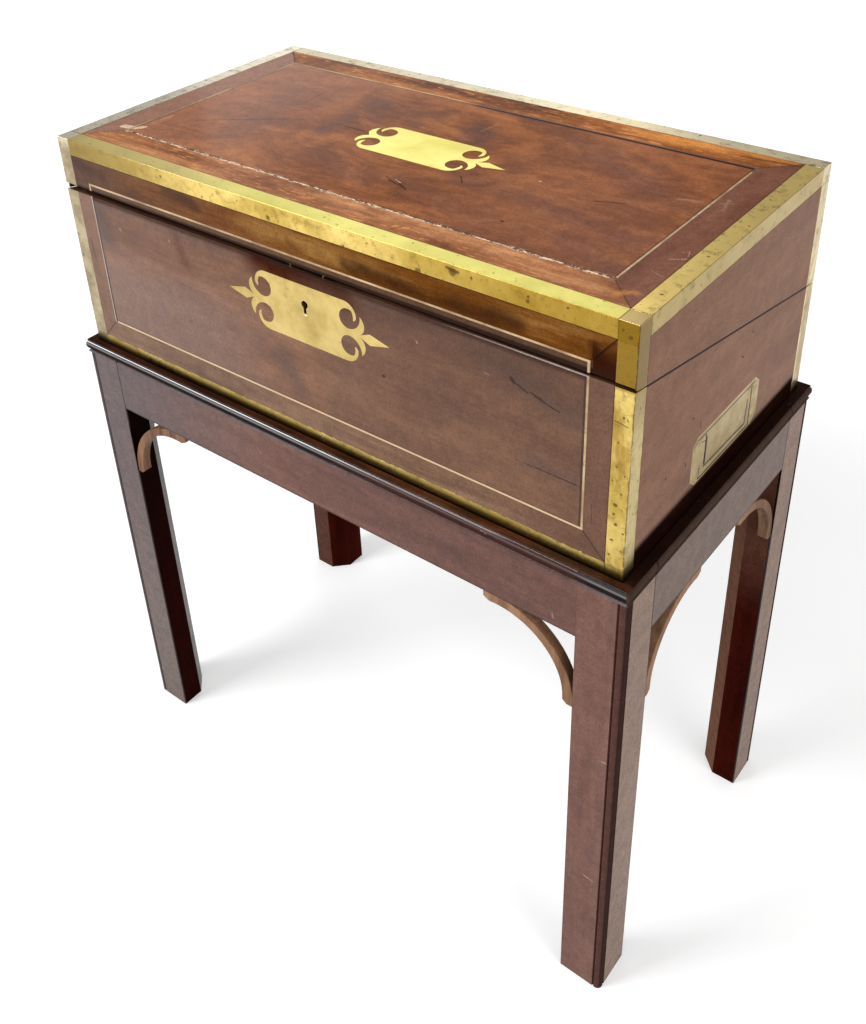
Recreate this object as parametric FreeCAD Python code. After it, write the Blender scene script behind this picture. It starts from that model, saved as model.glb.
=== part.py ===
import FreeCAD, Part
import math
import os
from FreeCAD import Vector

os.makedirs("parts", exist_ok=True)

# Campaign desk: a brass-bound mahogany writing box on a low joined stand.
# Millimetres. +X runs along the front to the right, -Y is the front, +Z is up.
# The origin is on the floor, under the middle of the stand.

# ---------------------------------------------------------------- stand
stand_side_margin = 8.0
stand_front_margin = 6.5
stand_height = 421.0
leg_size = 35.5
leg_chamfer = 14.5
leg_corner_radius = 3.8
quirk_start = 5.2
quirk_width = 1.6
quirk_depth = 1.2
apron_height = 57.0
apron_thickness = 18.0
tenon_length = 20.0
tenon_thickness = 8.0
tenon_setback = 5.0
tenon_shoulder = 6.0
moulding_height = 12.0
nose_overhang = 1.2
moulding_quirk = 1.2
lip_depth = 4.3
lip_clearance = 0.7
deck_thickness = 8.0
deck_rebate = 6.0
deck_gap = 0.2
bracket_run = 68.0
bracket_drop = 61.0
bracket_width = 7.0
bracket_depth = 8.0
bracket_setback = 0.8
bracket_foot = 5.0
bracket_toe = 1.5

# ---------------------------------------------------------------- writing box
box_length = 500.0
box_depth = 262.0
box_height = 185.0
lid_front_height = 43.0
lid_back_height = 92.5
seat_gap = 0.3
seam_gap = 0.5
board = 10.0
bottom_thickness = 7.0
veneer = 1.0
string_width = 1.5
front_banding_side = 16.3
front_banding_low = 17.3
front_banding_high = 19.3
top_banding = 23.3
front_rise_left = 4.3
front_rise_right = 1.8

# ---------------------------------------------------------------- brass binding
brass_width = 13.0
brass_thickness = 1.5

# ---------------------------------------------------------------- ornament and escutcheon
plate_half_height = 23.2
plate_straight = 35.6
plate_thickness = 1.2
hook_shoulder = (43.4, 20.2)
hook_outside = (46.3, 14.2)
hook_under = (45.7, 11.2)
hook_tip = (43.4, 9.7)
hook_inside = (43.6, 13.4)
scroll_x = 39.0
scroll_y = 10.3
scroll_radius = 7.6
scroll_opening_deg = 65.0
horn_inside = (47.2, 6.9)
horn_tip = (49.4, 14.9)
horn_outside = (52.9, 8.6)
neck = (48.6, 0.75)
spear_shoulder = (57.2, 4.35)
spear_tip = 73.6
escutcheon_drop = 33.0
keyhole_radius = 3.0
keyhole_slot = 2.8
keyhole_rise = 8.2
keyhole_length = 7.3
keyhole_depth = 8.6

# ---------------------------------------------------------------- lock
lock_length = 56.0
lock_height = 38.0
lock_case_depth = 8.0
lock_inset = 2.6
lock_wall = 1.0
lock_middle_inset = 6.8
bolt_length = 36.0
bolt_height = 4.2
bolt_thickness = 1.2
bolt_drop = 7.8
bolt_gap = 0.6
hook_length = 5.2
hook_height = 2.6
hook_stem = 2.4
key_post_radius = 0.9
key_post_length = 5.0
link_thickness = 1.5
link_width = 5.0
link_rise = 3.4
staple_spacing = 30.0
staple_thickness = 1.6
staple_width = 3.4
staple_drop = 7.0
staple_window_width = 1.8
staple_window_low = 5.6
staple_window_high = 2.2
staple_clearance = 0.8

# ---------------------------------------------------------------- side handles
handle_plate_length = 99.0
handle_plate_height = 38.6
handle_plate_thickness = 5.0
handle_plate_y = 1.6
handle_rise = 39.5
handle_clip_y = 7.0
handle_clip_z = 6.0
bail_length = 74.8
bail_y = 2.1
bail_bottom = 21.9
bail_height = 31.8
bail_arm = 6.8
bail_grip = 7.7
bail_thickness = 3.2
bail_flush = 0.2
bail_clearance = 0.5
bail_pocket_depth = 3.9
trunnion_radius = 1.1
trunnion_length = 3.0
trunnion_fit = 0.05
trunnion_end_gap = 0.6
screw_radius = 1.6
screw_length = 8.5
screw_inset = 6.0
screw_height = 9.0

# ---------------------------------------------------------------- box hinges
hinge_length = 56.0
hinge_spacing = 300.0
hinge_leaf = 8.5
hinge_leaf_thickness = 1.6
hinge_knuckle_radius = 2.4
hinge_knuckles = 5
hinge_knuckle_gap = 0.3
hinge_pin_radius = 1.0
hinge_pin_fit = 0.03
hinge_offset = 2.6
hinge_screw_radius = 1.2
hinge_screw_length = 9.0

# ---------------------------------------------------------------- writing flaps and fittings
flap_thickness = 6.0
flap_drop = 1.0
flap_back = 17.0
flap_side_gap = 0.6
flap_pin_radius = 1.5
flap_pin_fit = 0.05
flap_pin_length = 5.6
flap_pin_end_gap = 0.4
leather_thickness = 0.8
leather_margin = 14.0
ledge_width = 8.0
ledge_height = 10.0
ledge_end_gap = 5.0
flap_rest_gap = 0.3
partition = 5.0
partition_gap = 1.2
tray_depth = 51.5
tray_floor_drop = 58.0
tray_floor_thickness = 4.0
tray_height = 28.0
tray_groove_length = 230.0
tray_groove_radius = 17.0
tray_groove_rise = 2.0
bottle_x = 175.0
bottle_size = 38.0
bottle_fit = 0.5
well_depth = 20.0
bottle_height = 34.0
bottle_wall = 4.0
bottle_neck_radius = 11.0
bottle_neck_height = 4.0
cap_height = 9.0
cap_radius = 14.5
tray_gap = 0.4

# ---------------------------------------------------------------- derived sizes
stand_length = box_length + 2 * stand_side_margin
stand_depth = box_depth + 2 * stand_front_margin
half_length = stand_length / 2
half_depth = stand_depth / 2
deck_top = stand_height - lip_depth
apron_bottom = stand_height - apron_height
box_x = box_length / 2
box_y = box_depth / 2
box_bottom = deck_top + seat_gap
box_top = box_bottom + box_height
hinge_z = box_top - lid_back_height
slope = (lid_back_height - lid_front_height) / box_depth
slope_deg = math.degrees(math.atan(slope))
slope_cos = math.cos(math.radians(slope_deg))
slope_sin = math.sin(math.radians(slope_deg))
seam_front = hinge_z + box_depth * slope
inner_x = box_x - board
inner_y = box_y - board
panel_x = box_x - brass_width
panel_y = box_y - brass_width
band_bottom = box_bottom + brass_width
band_top = box_top - brass_width


# ---------------------------------------------------------------- helpers
def save(name, shape):
    """Write one node, as one solid or as a group of separate solids."""
    if isinstance(shape, (list, tuple)):
        solids = [solid for piece in shape for solid in piece.Solids]
        shape = Part.makeCompound(solids) if len(solids) > 1 else solids[0]
    elif len(shape.Solids) == 1:
        shape = shape.Solids[0]
    shape.exportStep("parts/" + name + ".step")


def block(x0, x1, y0, y1, z0, z1):
    """Box between two opposite corners."""
    return Part.makeBox(x1 - x0, y1 - y0, z1 - z0, Vector(x0, y0, z0))


def fused(shapes):
    """One solid from several that touch."""
    return shapes[0].multiFuse(list(shapes[1:])).removeSplitter() if len(shapes) > 1 else shapes[0]


def minus(shape, tools):
    """Shape with every tool cut away."""
    return shape.cut(list(tools)) if tools else shape


def prism(points, direction):
    """Closed polygon of vectors, extruded along a vector."""
    wire = Part.makePolygon(list(points) + [points[0]])
    return Part.Face(wire).extrude(direction)


def profile_yz(points, x0, x1):
    """Outline in Y and Z, extruded along X."""
    return prism([Vector(x0, y, z) for y, z in points], Vector(x1 - x0, 0, 0))


def profile_xz(points, y0, y1):
    """Outline in X and Z, extruded along Y."""
    return prism([Vector(x, y0, z) for x, z in points], Vector(0, y1 - y0, 0))


def profile_xy(points, z0, z1):
    """Outline in X and Y, extruded along Z."""
    return prism([Vector(x, y, z0) for x, y in points], Vector(0, 0, z1 - z0))


def mirror_x(shape):
    return shape.mirror(Vector(0, 0, 0), Vector(1, 0, 0))


def mirror_y(shape):
    return shape.mirror(Vector(0, 0, 0), Vector(0, 1, 0))


def seam_z(y):
    """Height of the sloping seam plane at a given depth."""
    return hinge_z + (box_y - y) * slope


def tilt(shape):
    """Move a shape from slope coordinates into the box.

    In slope coordinates +X is the same, the back edge of the seam is y = 0,
    the seam runs forward along -Y and its normal is +Z.
    """
    moved = shape.copy()
    moved.rotate(Vector(0, 0, 0), Vector(1, 0, 0), -slope_deg)
    moved.translate(Vector(0, box_y, hinge_z))
    return moved


# ---------------------------------------------------------------- stand
def moulding_outline():
    """Stand edge from its top arris down to the flat face: (out of the face, below the top)."""
    return {
        "arris": (0.0, 0.0),
        "groove_top": (0.0, 0.8),
        "groove": (-0.8, 1.2),
        "round_start": (0.0, 1.6),
        "round_mid": (nose_overhang, 4.8),
        "round_end": (-0.6, 9.4),
        "quirk_top": (-moulding_quirk, 9.8),
        "quirk_low": (-moulding_quirk, 10.2),
        "bead_start": (-0.6, 10.2),
        "bead_mid": (0.2, 11.1),
        "bead_end": (0.0, moulding_height),
    }


def moulding_bar(inward, length, low):
    """Moulded bar along X whose flat face is at y = 0 and outside is -Y, from x = 0."""
    p = {key: Vector(0, -u, stand_height - d) for key, (u, d) in moulding_outline().items()}
    back_top = Vector(0, inward, stand_height)
    back_low = Vector(0, inward, low)
    face_low = Vector(0, 0, low)
    above = [back_top, p["arris"], p["groove_top"], p["groove"], p["round_start"]]
    between = [p["round_end"], p["quirk_top"], p["quirk_low"], p["bead_start"]]
    below = [p["bead_end"], face_low, back_low, back_top]
    if low == stand_height - moulding_height:
        below.remove(face_low)
    edges = [Part.makeLine(a, b) for run in (above, between, below) for a, b in zip(run, run[1:])]
    edges.append(Part.Arc(p["round_start"], p["round_mid"], p["round_end"]).toShape())
    edges.append(Part.Arc(p["bead_start"], p["bead_mid"], p["bead_end"]).toShape())
    wire = Part.Wire(Part.__sortEdges__(edges))
    return Part.Face(wire).extrude(Vector(length, 0, 0))


def lip_recess():
    """The shallow well that the box stands in."""
    x = box_x + lip_clearance
    y = box_y + lip_clearance
    return block(-x, x, -y, y, deck_top, stand_height + 1)


def leg_shaft():
    """Leg below its moulded head, with its outer corner at the origin."""
    end = quirk_start + quirk_width
    middle = quirk_start + quirk_width / 2
    inner = leg_size - leg_chamfer
    r = leg_corner_radius
    bulge = r * (1 - math.sqrt(0.5))
    z = 0.0
    points = [(r, 0), (quirk_start, 0), (middle, quirk_depth), (end, 0), (leg_size, 0), (leg_size, inner),
              (inner, leg_size), (0, leg_size), (0, end), (quirk_depth, middle), (0, quirk_start), (0, r)]
    edges = [Part.makeLine(Vector(a[0], a[1], z), Vector(b[0], b[1], z)) for a, b in zip(points, points[1:])]
    edges.append(Part.Arc(Vector(0, r, z), Vector(bulge, bulge, z), Vector(r, 0, z)).toShape())
    return Part.Face(Part.Wire(edges)).extrude(Vector(0, 0, stand_height - moulding_height))


def leg_head():
    """Moulded top of a leg, mitred round its outer corner."""
    square = stand_height - moulding_height
    reach = nose_overhang + 1
    along_x = moulding_bar(leg_size, leg_size + reach, square)
    along_x.translate(Vector(-reach, 0, 0))
    along_y = moulding_bar(leg_size, leg_size + reach, square)
    along_y.translate(Vector(-reach, 0, 0))
    along_y = along_y.mirror(Vector(0, 0, 0), Vector(1, -1, 0))
    head = along_x.common(along_y)
    corner = profile_xy([(leg_size, leg_size - leg_chamfer), (leg_size, leg_size),
                         (leg_size - leg_chamfer, leg_size)], square - 1, stand_height + 1)
    return head.cut(corner)


def front_tenon():
    """Tenon of the front apron, in the leg's own corner coordinates."""
    low = apron_bottom + tenon_shoulder
    high = stand_height - moulding_height - tenon_shoulder
    return block(leg_size - tenon_length, leg_size, tenon_setback, tenon_setback + tenon_thickness, low, high)


def side_tenon():
    """Tenon of the end apron, in the leg's own corner coordinates."""
    return front_tenon().mirror(Vector(0, 0, 0), Vector(1, -1, 0))


def placed_leg_part(shape, right, back):
    """Put a part from corner coordinates into the stand's corner."""
    moved = shape.copy()
    moved.translate(Vector(-half_length, -half_depth, 0))
    if right:
        moved = mirror_x(moved)
    if back:
        moved = mirror_y(moved)
    return moved


def build_legs():
    leg = fused([leg_shaft(), leg_head()])
    leg = minus(leg, [front_tenon(), side_tenon()])
    for side, right in (("left", False), ("right", True)):
        for end, back in (("front", False), ("back", True)):
            shape = placed_leg_part(leg, right, back)
            save("leg_" + end + "_" + side, shape.cut(lip_recess()))


def deck_space(gap):
    """Room of the loose deck in the rebates of the aprons, notched round the legs."""
    x = half_length - apron_thickness + deck_rebate - gap
    y = half_depth - apron_thickness + deck_rebate - gap
    low = deck_top - deck_thickness
    deck = block(-x, x, -y, y, low, deck_top)
    clear = leg_size + gap
    corner = block(-half_length, -half_length + clear, -half_depth, -half_depth + clear, low - 1, deck_top + 1)
    return deck.cut([corner, mirror_x(corner), mirror_y(corner), mirror_x(mirror_y(corner))])


def build_aprons():
    long_run = stand_length - 2 * leg_size
    short_run = stand_depth - 2 * leg_size
    front = moulding_bar(apron_thickness, long_run, apron_bottom)
    front.translate(Vector(-long_run / 2, -half_depth, 0))
    tenons = [placed_leg_part(front_tenon(), right, False) for right in (False, True)]
    front = fused([front] + tenons)
    left = moulding_bar(apron_thickness, short_run, apron_bottom)
    left.translate(Vector(-short_run / 2, 0, 0))
    left.rotate(Vector(0, 0, 0), Vector(0, 0, 1), -90)
    left.translate(Vector(-half_length, 0, 0))
    tenons = [placed_leg_part(side_tenon(), False, back) for back in (False, True)]
    left = fused([left] + tenons)
    away = [lip_recess(), deck_space(0)]
    save("apron_front", front.cut(away))
    save("apron_back", mirror_y(front).cut(away))
    save("apron_left", left.cut(away))
    save("apron_right", mirror_x(left).cut(away))
    save("stand_deck", deck_space(deck_gap))


def bracket_shape():
    """Pierced quarter-round bracket in X and Z: its corner is at the origin, it runs to -X and -Z."""
    run = bracket_run
    drop = bracket_drop
    w = bracket_width
    f = bracket_foot
    toe = w + bracket_toe
    bend = math.sqrt(0.5)

    def at(a, b):
        return Vector(-a, 0, -b)

    outside = at(run - run * bend, drop - drop * bend)
    inside = at(run - (run - w) * bend, drop - (drop - w) * bend)
    edges = [
        Part.Arc(at(0, drop), outside, at(run, 0)).toShape(),
        Part.makeLine(at(run, 0), at(run + f, 0)),
        Part.makeLine(at(run + f, 0), at(run + f, toe * 0.7)),
        Part.makeLine(at(run + f, toe * 0.7), at(run, toe)),
        Part.Arc(at(run, toe), inside, at(toe, drop)).toShape(),
        Part.makeLine(at(toe, drop), at(toe, drop + f * 0.6)),
        Part.makeLine(at(toe, drop + f * 0.6), at(toe * 0.6, drop + f * 1.2)),
        Part.makeLine(at(toe * 0.6, drop + f * 1.2), at(0, drop + f * 1.2)),
        Part.makeLine(at(0, drop + f * 1.2), at(0, drop)),
    ]
    return Part.Face(Part.Wire(edges)).extrude(Vector(0, bracket_depth, 0))


def build_brackets():
    x = half_length - leg_size
    y = half_depth - leg_size
    front = bracket_shape()
    front.translate(Vector(x, -half_depth + bracket_setback, apron_bottom))
    side = bracket_shape()
    side.rotate(Vector(0, 0, 0), Vector(0, 0, 1), 90)
    side.translate(Vector(half_length - bracket_setback, y, apron_bottom))
    save("brackets_front", [front, mirror_x(front)])
    save("brackets_back", [mirror_y(front), mirror_x(mirror_y(front))])
    save("brackets_ends", [side, mirror_y(side), mirror_x(side), mirror_x(mirror_y(side))])


# ---------------------------------------------------------------- box envelope
def lower_wedge():
    """Everything of the box below the seam."""
    return profile_yz([(-box_y, box_bottom), (-box_y, seam_front), (box_y, hinge_z), (box_y, box_bottom)],
                      -box_x, box_x)


def front_rise():
    """Sliver under the lid's front rail, where the rail has lifted, more at the left."""
    over = 2.0
    lift_left = (front_rise_left + seam_gap) * slope_cos
    lift_right = (front_rise_right + seam_gap) * slope_cos
    x = box_x + over
    points = [(-x, -board), (-x, lift_left), (x, lift_right), (x, -board)]
    reach = (box_depth + over) / slope_cos
    sliver = tilt(profile_xz(points, -reach, -(box_depth - 2 * board) / slope_cos))
    core = box_x - brass_thickness
    under_rail = block(-core, core, -box_y - over, -inner_y, hinge_z, box_top)
    under_face = block(-x, x, -box_y - over, -box_y + brass_thickness, hinge_z, box_top)
    return sliver.common(under_rail.fuse(under_face))


def upper_wedge():
    """Everything of the box above the seam."""
    wedge = profile_yz([(-box_y, seam_front + seam_gap), (-box_y, box_top), (box_y, box_top),
                        (box_y, hinge_z + seam_gap)], -box_x, box_x)
    return wedge.cut(front_rise())


def four_corners(shape):
    """The same shape at every corner of the box."""
    return [shape, mirror_x(shape), mirror_y(shape), mirror_x(mirror_y(shape))]


def corner_angle(z0, z1):
    """Upright brass angle of the front left corner between two heights."""
    strip = block(-box_x, -box_x + brass_width, -box_y, -box_y + brass_width, z0, z1)
    core = block(-box_x + brass_thickness, -box_x + brass_width + 1, -box_y + brass_thickness,
                 -box_y + brass_width + 1, z0 - 1, z1 + 1)
    return strip.cut(core)


def lid_corner(z0):
    """Brass corner of the lid: an upright angle with a square cap on the top."""
    cap = block(-box_x, -panel_x, -box_y, -box_y + brass_width, box_top - brass_thickness, box_top)
    return fused([corner_angle(z0, box_top), cap])


def edging():
    """Brass angles along the lid's top arrises, between the corner pieces."""
    w = brass_width
    t = brass_thickness
    front = profile_yz([(-box_y, band_top), (-box_y, box_top), (-box_y + w, box_top), (-box_y + w, box_top - t),
                        (-box_y + t, box_top - t), (-box_y + t, band_top)], -panel_x, panel_x)
    side = profile_xz([(-box_x, band_top), (-box_x, box_top), (-box_x + w, box_top), (-box_x + w, box_top - t),
                       (-box_x + t, box_top - t), (-box_x + t, band_top)], -panel_y, panel_y)
    return [front, mirror_y(front), side, mirror_x(side)]


# ---------------------------------------------------------------- scrolled brass plate
def plate_quarter(spear):
    """Quarter of the plate to the right of and above its centre, in X and Y, upwards from z = 0."""
    def at(point):
        return Vector(point[0], point[1], 0)

    angle = math.radians(scroll_opening_deg)
    mouth = (scroll_x + scroll_radius * math.cos(angle), scroll_y + scroll_radius * math.sin(angle))
    far = (scroll_x - scroll_radius, scroll_y)
    low = (scroll_x, scroll_y - scroll_radius)
    end = [(spear_tip, 0)] if spear else [(neck[0], 0)]
    outline = [neck] + ([spear_shoulder] if spear else []) + end + [(0, 0), (0, plate_half_height),
                                                                    (plate_straight, plate_half_height)]
    edges = [Part.makeLine(at(a), at(b)) for a, b in zip(outline, outline[1:])]
    for start, middle, stop in ((outline[-1], hook_shoulder, hook_outside), (hook_outside, hook_under, hook_tip),
                                (hook_tip, hook_inside, mouth), (mouth, far, low), (low, horn_inside, horn_tip),
                                (horn_tip, horn_outside, neck)):
        edges.append(Part.Arc(at(start), at(middle), at(stop)).toShape())
    return Part.Face(Part.Wire(Part.__sortEdges__(edges))).extrude(Vector(0, 0, plate_thickness))


def scroll_plate(left_spear):
    """Plate with curled corners and spear ends."""
    right = plate_quarter(True)
    left = mirror_x(plate_quarter(left_spear))
    return fused([right, mirror_y(right), left, mirror_y(left)])


def keyhole(length):
    """Keyhole bore along +Z from z = 0, head up along +Y, centred on the plate."""
    head = Part.makeCylinder(keyhole_radius, length, Vector(0, keyhole_rise, 0))
    slot = block(-keyhole_slot / 2, keyhole_slot / 2, keyhole_rise - keyhole_length, keyhole_rise, 0, length)
    return head.fuse(slot).removeSplitter()


def onto_front(shape, centre_z, depth):
    """Turn a flat shape so its top faces the front, sunk by a depth below the front face."""
    moved = shape.copy()
    moved.rotate(Vector(0, 0, 0), Vector(1, 0, 0), 90)
    moved.translate(Vector(0, -box_y + depth, centre_z))
    return moved


escutcheon_z = seam_front - escutcheon_drop


def escutcheon_blank():
    return onto_front(scroll_plate(True), escutcheon_z, plate_thickness)


def keyhole_bore():
    return onto_front(keyhole(keyhole_depth + 1), escutcheon_z, keyhole_depth)


def lid_ornament():
    """Plate on the lid. Its left spear is lost."""
    plate = scroll_plate(False)
    plate.translate(Vector(0, 0, box_top - plate_thickness))
    return plate


# ---------------------------------------------------------------- lock
lock_front = -box_y + lock_inset
lock_back = lock_front + lock_case_depth
lock_low = seam_front - lock_height
lock_middle = -(box_depth - lock_middle_inset) / slope_cos


def lock_case_blank():
    """Outside of the lock case, its top level with the seam."""
    half = lock_length / 2
    return block(-half, half, lock_front, lock_back, lock_low, box_top).common(lower_wedge())


def staple_places():
    return (-staple_spacing / 2, staple_spacing / 2)


def lock_case():
    wall = lock_wall
    half = lock_length / 2 - wall
    cavity = block(-half, half, lock_front + wall, lock_back - wall, lock_low + wall, box_top)
    under_top = tilt(block(-half - 1, half + 1, -2 * box_depth, 0, -2 * lock_height, -wall))
    cavity = cavity.common(under_top)
    thick = staple_thickness / 2 + staple_clearance
    wide = staple_width / 2 + staple_clearance
    slots = [tilt(block(x - thick, x + thick, lock_middle - wide, lock_middle + wide, -2 * wall, wall))
             for x in staple_places()]
    case = lock_case_blank().cut([cavity, keyhole_bore()] + slots)
    post = Part.makeCylinder(key_post_radius, key_post_length + wall / 2,
                             Vector(0, lock_back - wall / 2, escutcheon_z + keyhole_rise), Vector(0, -1, 0))
    return case.fuse(post)


def lock_bolt():
    """Sliding bar with two hooks that pass through the staples' windows."""
    half = bolt_thickness / 2
    y0 = lock_middle - half
    y1 = lock_middle + half
    finger_top = -(staple_window_low + staple_window_high) / 2 + hook_height / 2
    pieces = []
    for x in staple_places():
        tip = x - staple_thickness / 2 - bolt_gap
        root = tip - hook_length
        pieces.append(block(root, tip, y0, y1, finger_top - hook_height, finger_top))
        pieces.append(block(root - hook_stem, root, y0, y1, -bolt_drop - bolt_height, finger_top))
    start = pieces[1].BoundBox.XMin
    pieces.append(block(start, start + bolt_length, y0, y1, -bolt_drop - bolt_height, -bolt_drop))
    return tilt(fused(pieces))


def link_bed():
    """Shallow bed of the link plate in the underside of the front rail."""
    half = lock_length / 2
    return tilt(block(-half, half, lock_middle - link_width / 2, lock_middle + link_width / 2,
                      0, link_rise + link_thickness))


def link_plate():
    """Plate under the lid's front rail with two staples that drop into the lock."""
    half = lock_length / 2
    pieces = [block(-half, half, lock_middle - link_width / 2, lock_middle + link_width / 2,
                    link_rise, link_rise + link_thickness)]
    for x in staple_places():
        thick = staple_thickness / 2
        staple = block(x - thick, x + thick, lock_middle - staple_width / 2, lock_middle + staple_width / 2,
                       -staple_drop, link_rise)
        window = block(x - 2 * thick, x + 2 * thick, lock_middle - staple_window_width / 2,
                       lock_middle + staple_window_width / 2, -staple_window_low, -staple_window_high)
        pieces.append(staple.cut(window))
    return tilt(fused(pieces))


# ---------------------------------------------------------------- handles
handle_z = box_bottom + handle_rise
bail_low = box_bottom + bail_bottom
bail_top = bail_low + bail_height
bail_axis_z = bail_top - bail_thickness / 2
bail_axis_x = box_x - bail_flush - bail_thickness / 2


def handle_plate_blank():
    """Clipped rectangle let into the right end, its outside face flush."""
    y = handle_plate_length / 2
    z = handle_plate_height / 2
    cy = handle_clip_y
    cz = handle_clip_z
    points = [(-y + cy, -z), (y - cy, -z), (y, -z + cz), (y, z - cz), (y - cy, z), (-y + cy, z),
              (-y, z - cz), (-y, -z + cz)]
    return profile_yz([(a + handle_plate_y, b + handle_z) for a, b in points],
                      box_x - handle_plate_thickness, box_x)


def bail_outline(grow):
    """U of the drop handle in Y and Z, grown by a clearance."""
    out = bail_length / 2 + grow
    into = bail_length / 2 - bail_arm - grow
    top = bail_top + grow
    low = bail_low - grow
    inner_low = bail_low + bail_grip + grow
    points = [(-out, top), (-out, low), (out, low), (out, top), (into, top), (into, inner_low),
              (-into, inner_low), (-into, top)]
    return [(y + bail_y, z) for y, z in points]


def trunnions(radius, extra):
    """Round pins on which the drop handle turns."""
    start = bail_length / 2 - bail_arm / 2
    length = bail_arm / 2 + trunnion_length + extra
    return [Part.makeCylinder(radius, length, Vector(bail_axis_x, bail_y + sign * start, bail_axis_z),
                              Vector(0, sign, 0)) for sign in (-1, 1)]


def bail():
    x1 = box_x - bail_flush
    x0 = x1 - bail_thickness
    flat = profile_yz(bail_outline(0), x0, x1)
    above = block(x0 - 1, x1 + 1, -bail_length, bail_length, bail_axis_z, bail_top + 1)
    ends = [Part.makeCylinder(bail_thickness / 2, bail_arm,
                              Vector(bail_axis_x, bail_y + start, bail_axis_z), Vector(0, 1, 0))
            for start in (-bail_length / 2, bail_length / 2 - bail_arm)]
    return fused([flat.cut(above)] + ends + trunnions(trunnion_radius, 0))


def handle_screws():
    """Four countersunk screws of the right handle plate."""
    y = handle_plate_length / 2 - screw_inset
    screws = []
    for sy in (-1, 1):
        for sz in (-1, 1):
            start = Vector(box_x, handle_plate_y + sy * y, handle_z + sz * screw_height)
            screws.append(countersunk(start, Vector(-1, 0, 0), screw_radius, screw_length))
    return screws


def countersunk(start, inward, radius, length):
    """Screw with its flush conical head at a point, running inward."""
    head = Part.makeCone(2 * radius, radius, radius, start, inward)
    return fused([head, Part.makeCylinder(radius, length, start, inward)])


def trunnion_holes():
    return trunnions(trunnion_radius + trunnion_fit, trunnion_end_gap)


def handle_plate():
    pocket = profile_yz(bail_outline(bail_clearance), box_x - bail_pocket_depth, box_x + 1)
    return handle_plate_blank().cut([pocket] + trunnion_holes() + handle_screws())


# ---------------------------------------------------------------- butt hinges
hinge_axis_up = seam_gap / 2


def hinge_barrel(x0, x1, radius):
    """Round bar on the hinge axis, in slope coordinates."""
    return Part.makeCylinder(radius, x1 - x0, Vector(x0, hinge_offset, hinge_axis_up), Vector(1, 0, 0))


def hinge_centres():
    return (-hinge_spacing / 2, hinge_spacing / 2)


def hinge_levels(up):
    """Under and upper face of a leaf: let into the lid (up) or into the lower half."""
    if up:
        return seam_gap, seam_gap + hinge_leaf_thickness
    return -hinge_leaf_thickness, 0.0


def hinge_leaf_blank(centre, up, beyond=0.0):
    """Flat leaf let into the sloping edge of a back board, or its bed that runs out beyond the back."""
    low, high = hinge_levels(up)
    half = hinge_length / 2
    return block(centre - half, centre + half, -hinge_leaf, beyond, low, high)


def hinge_screws(centre, up):
    """Three screws through one leaf, their heads in the seam."""
    step = hinge_length / 3
    level = seam_gap if up else 0.0
    inward = Vector(0, 0, 1 if up else -1)
    return [countersunk(Vector(centre + place * step, -hinge_leaf / 2, level), inward,
                        hinge_screw_radius, hinge_screw_length) for place in (-1, 0, 1)]


def hinge_half(centre, up):
    """Leaf with its own knuckles, bored for the pin."""
    low, high = hinge_levels(up)
    half = hinge_length / 2
    run = hinge_length / hinge_knuckles
    pieces = [hinge_leaf_blank(centre, up)]
    for index in range(1 if up else 0, hinge_knuckles, 2):
        x0 = centre - half + index * run + hinge_knuckle_gap / 2
        x1 = x0 + run - hinge_knuckle_gap
        pieces.append(hinge_barrel(x0, x1, hinge_knuckle_radius))
        pieces.append(block(x0, x1, -hinge_leaf / 2, hinge_offset, low, high))
    leaf = fused(pieces)
    if up:
        return leaf.fuse(hinge_barrel(centre - half, centre + half, hinge_pin_radius))
    bore = hinge_barrel(centre - half - 1, centre + half + 1, hinge_pin_radius + hinge_pin_fit)
    return leaf.cut(bore)


def hinge_room(up):
    """Everything that the hinges and their screws take from a back board."""
    room = []
    for centre in hinge_centres():
        room.append(tilt(hinge_leaf_blank(centre, up, hinge_offset)))
        room += [tilt(screw) for screw in hinge_screws(centre, up)]
    return room


def hinge_screw_set(up):
    return [tilt(screw) for centre in hinge_centres() for screw in hinge_screws(centre, up)]


def hinge_set(up):
    """Both hinge halves of the lid (up) or of the lower half."""
    return [tilt(hinge_half(centre, up).cut(hinge_screws(centre, up))) for centre in hinge_centres()]


# ---------------------------------------------------------------- front veneers
def front_field(x0, x1, z0, z1):
    """Slab of the front veneer's thickness."""
    return block(x0, x1, -box_y, -box_y + veneer, z0, z1)


string_x = panel_x - front_banding_side
base_string_z = band_bottom + front_banding_low
lid_string_z = band_top - front_banding_high


def base_banding():
    """Mitred cross-banding on the lower front: left, right and bottom."""
    sx = string_x
    sz = base_string_z
    top = seam_front + 1
    left = profile_xz([(-panel_x, band_bottom), (-sx, sz), (-sx, top), (-panel_x, top)],
                      -box_y, -box_y + veneer)
    low = profile_xz([(-panel_x, band_bottom), (panel_x, band_bottom), (sx, sz), (-sx, sz)],
                     -box_y, -box_y + veneer)
    return [left, mirror_x(left), low]


def base_string():
    outer = front_field(-string_x, string_x, base_string_z, seam_front + 1)
    inner = front_field(-string_x + string_width, string_x - string_width, base_string_z + string_width,
                        seam_front + 2)
    return outer.cut(inner)


def base_panel():
    return front_field(-string_x + string_width, string_x - string_width, base_string_z + string_width,
                       seam_front + 1)


def lid_banding():
    """Mitred cross-banding on the lid's front. The short upright at the right is lost."""
    sx = string_x
    sz = lid_string_z
    low = seam_front - 1
    left = profile_xz([(-panel_x, band_top), (-panel_x, low), (-sx, low), (-sx, sz)], -box_y, -box_y + veneer)
    long_band = profile_xz([(-panel_x, band_top), (-sx, sz), (sx, sz), (panel_x, band_top)],
                           -box_y, -box_y + veneer)
    return [left, long_band]


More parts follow.
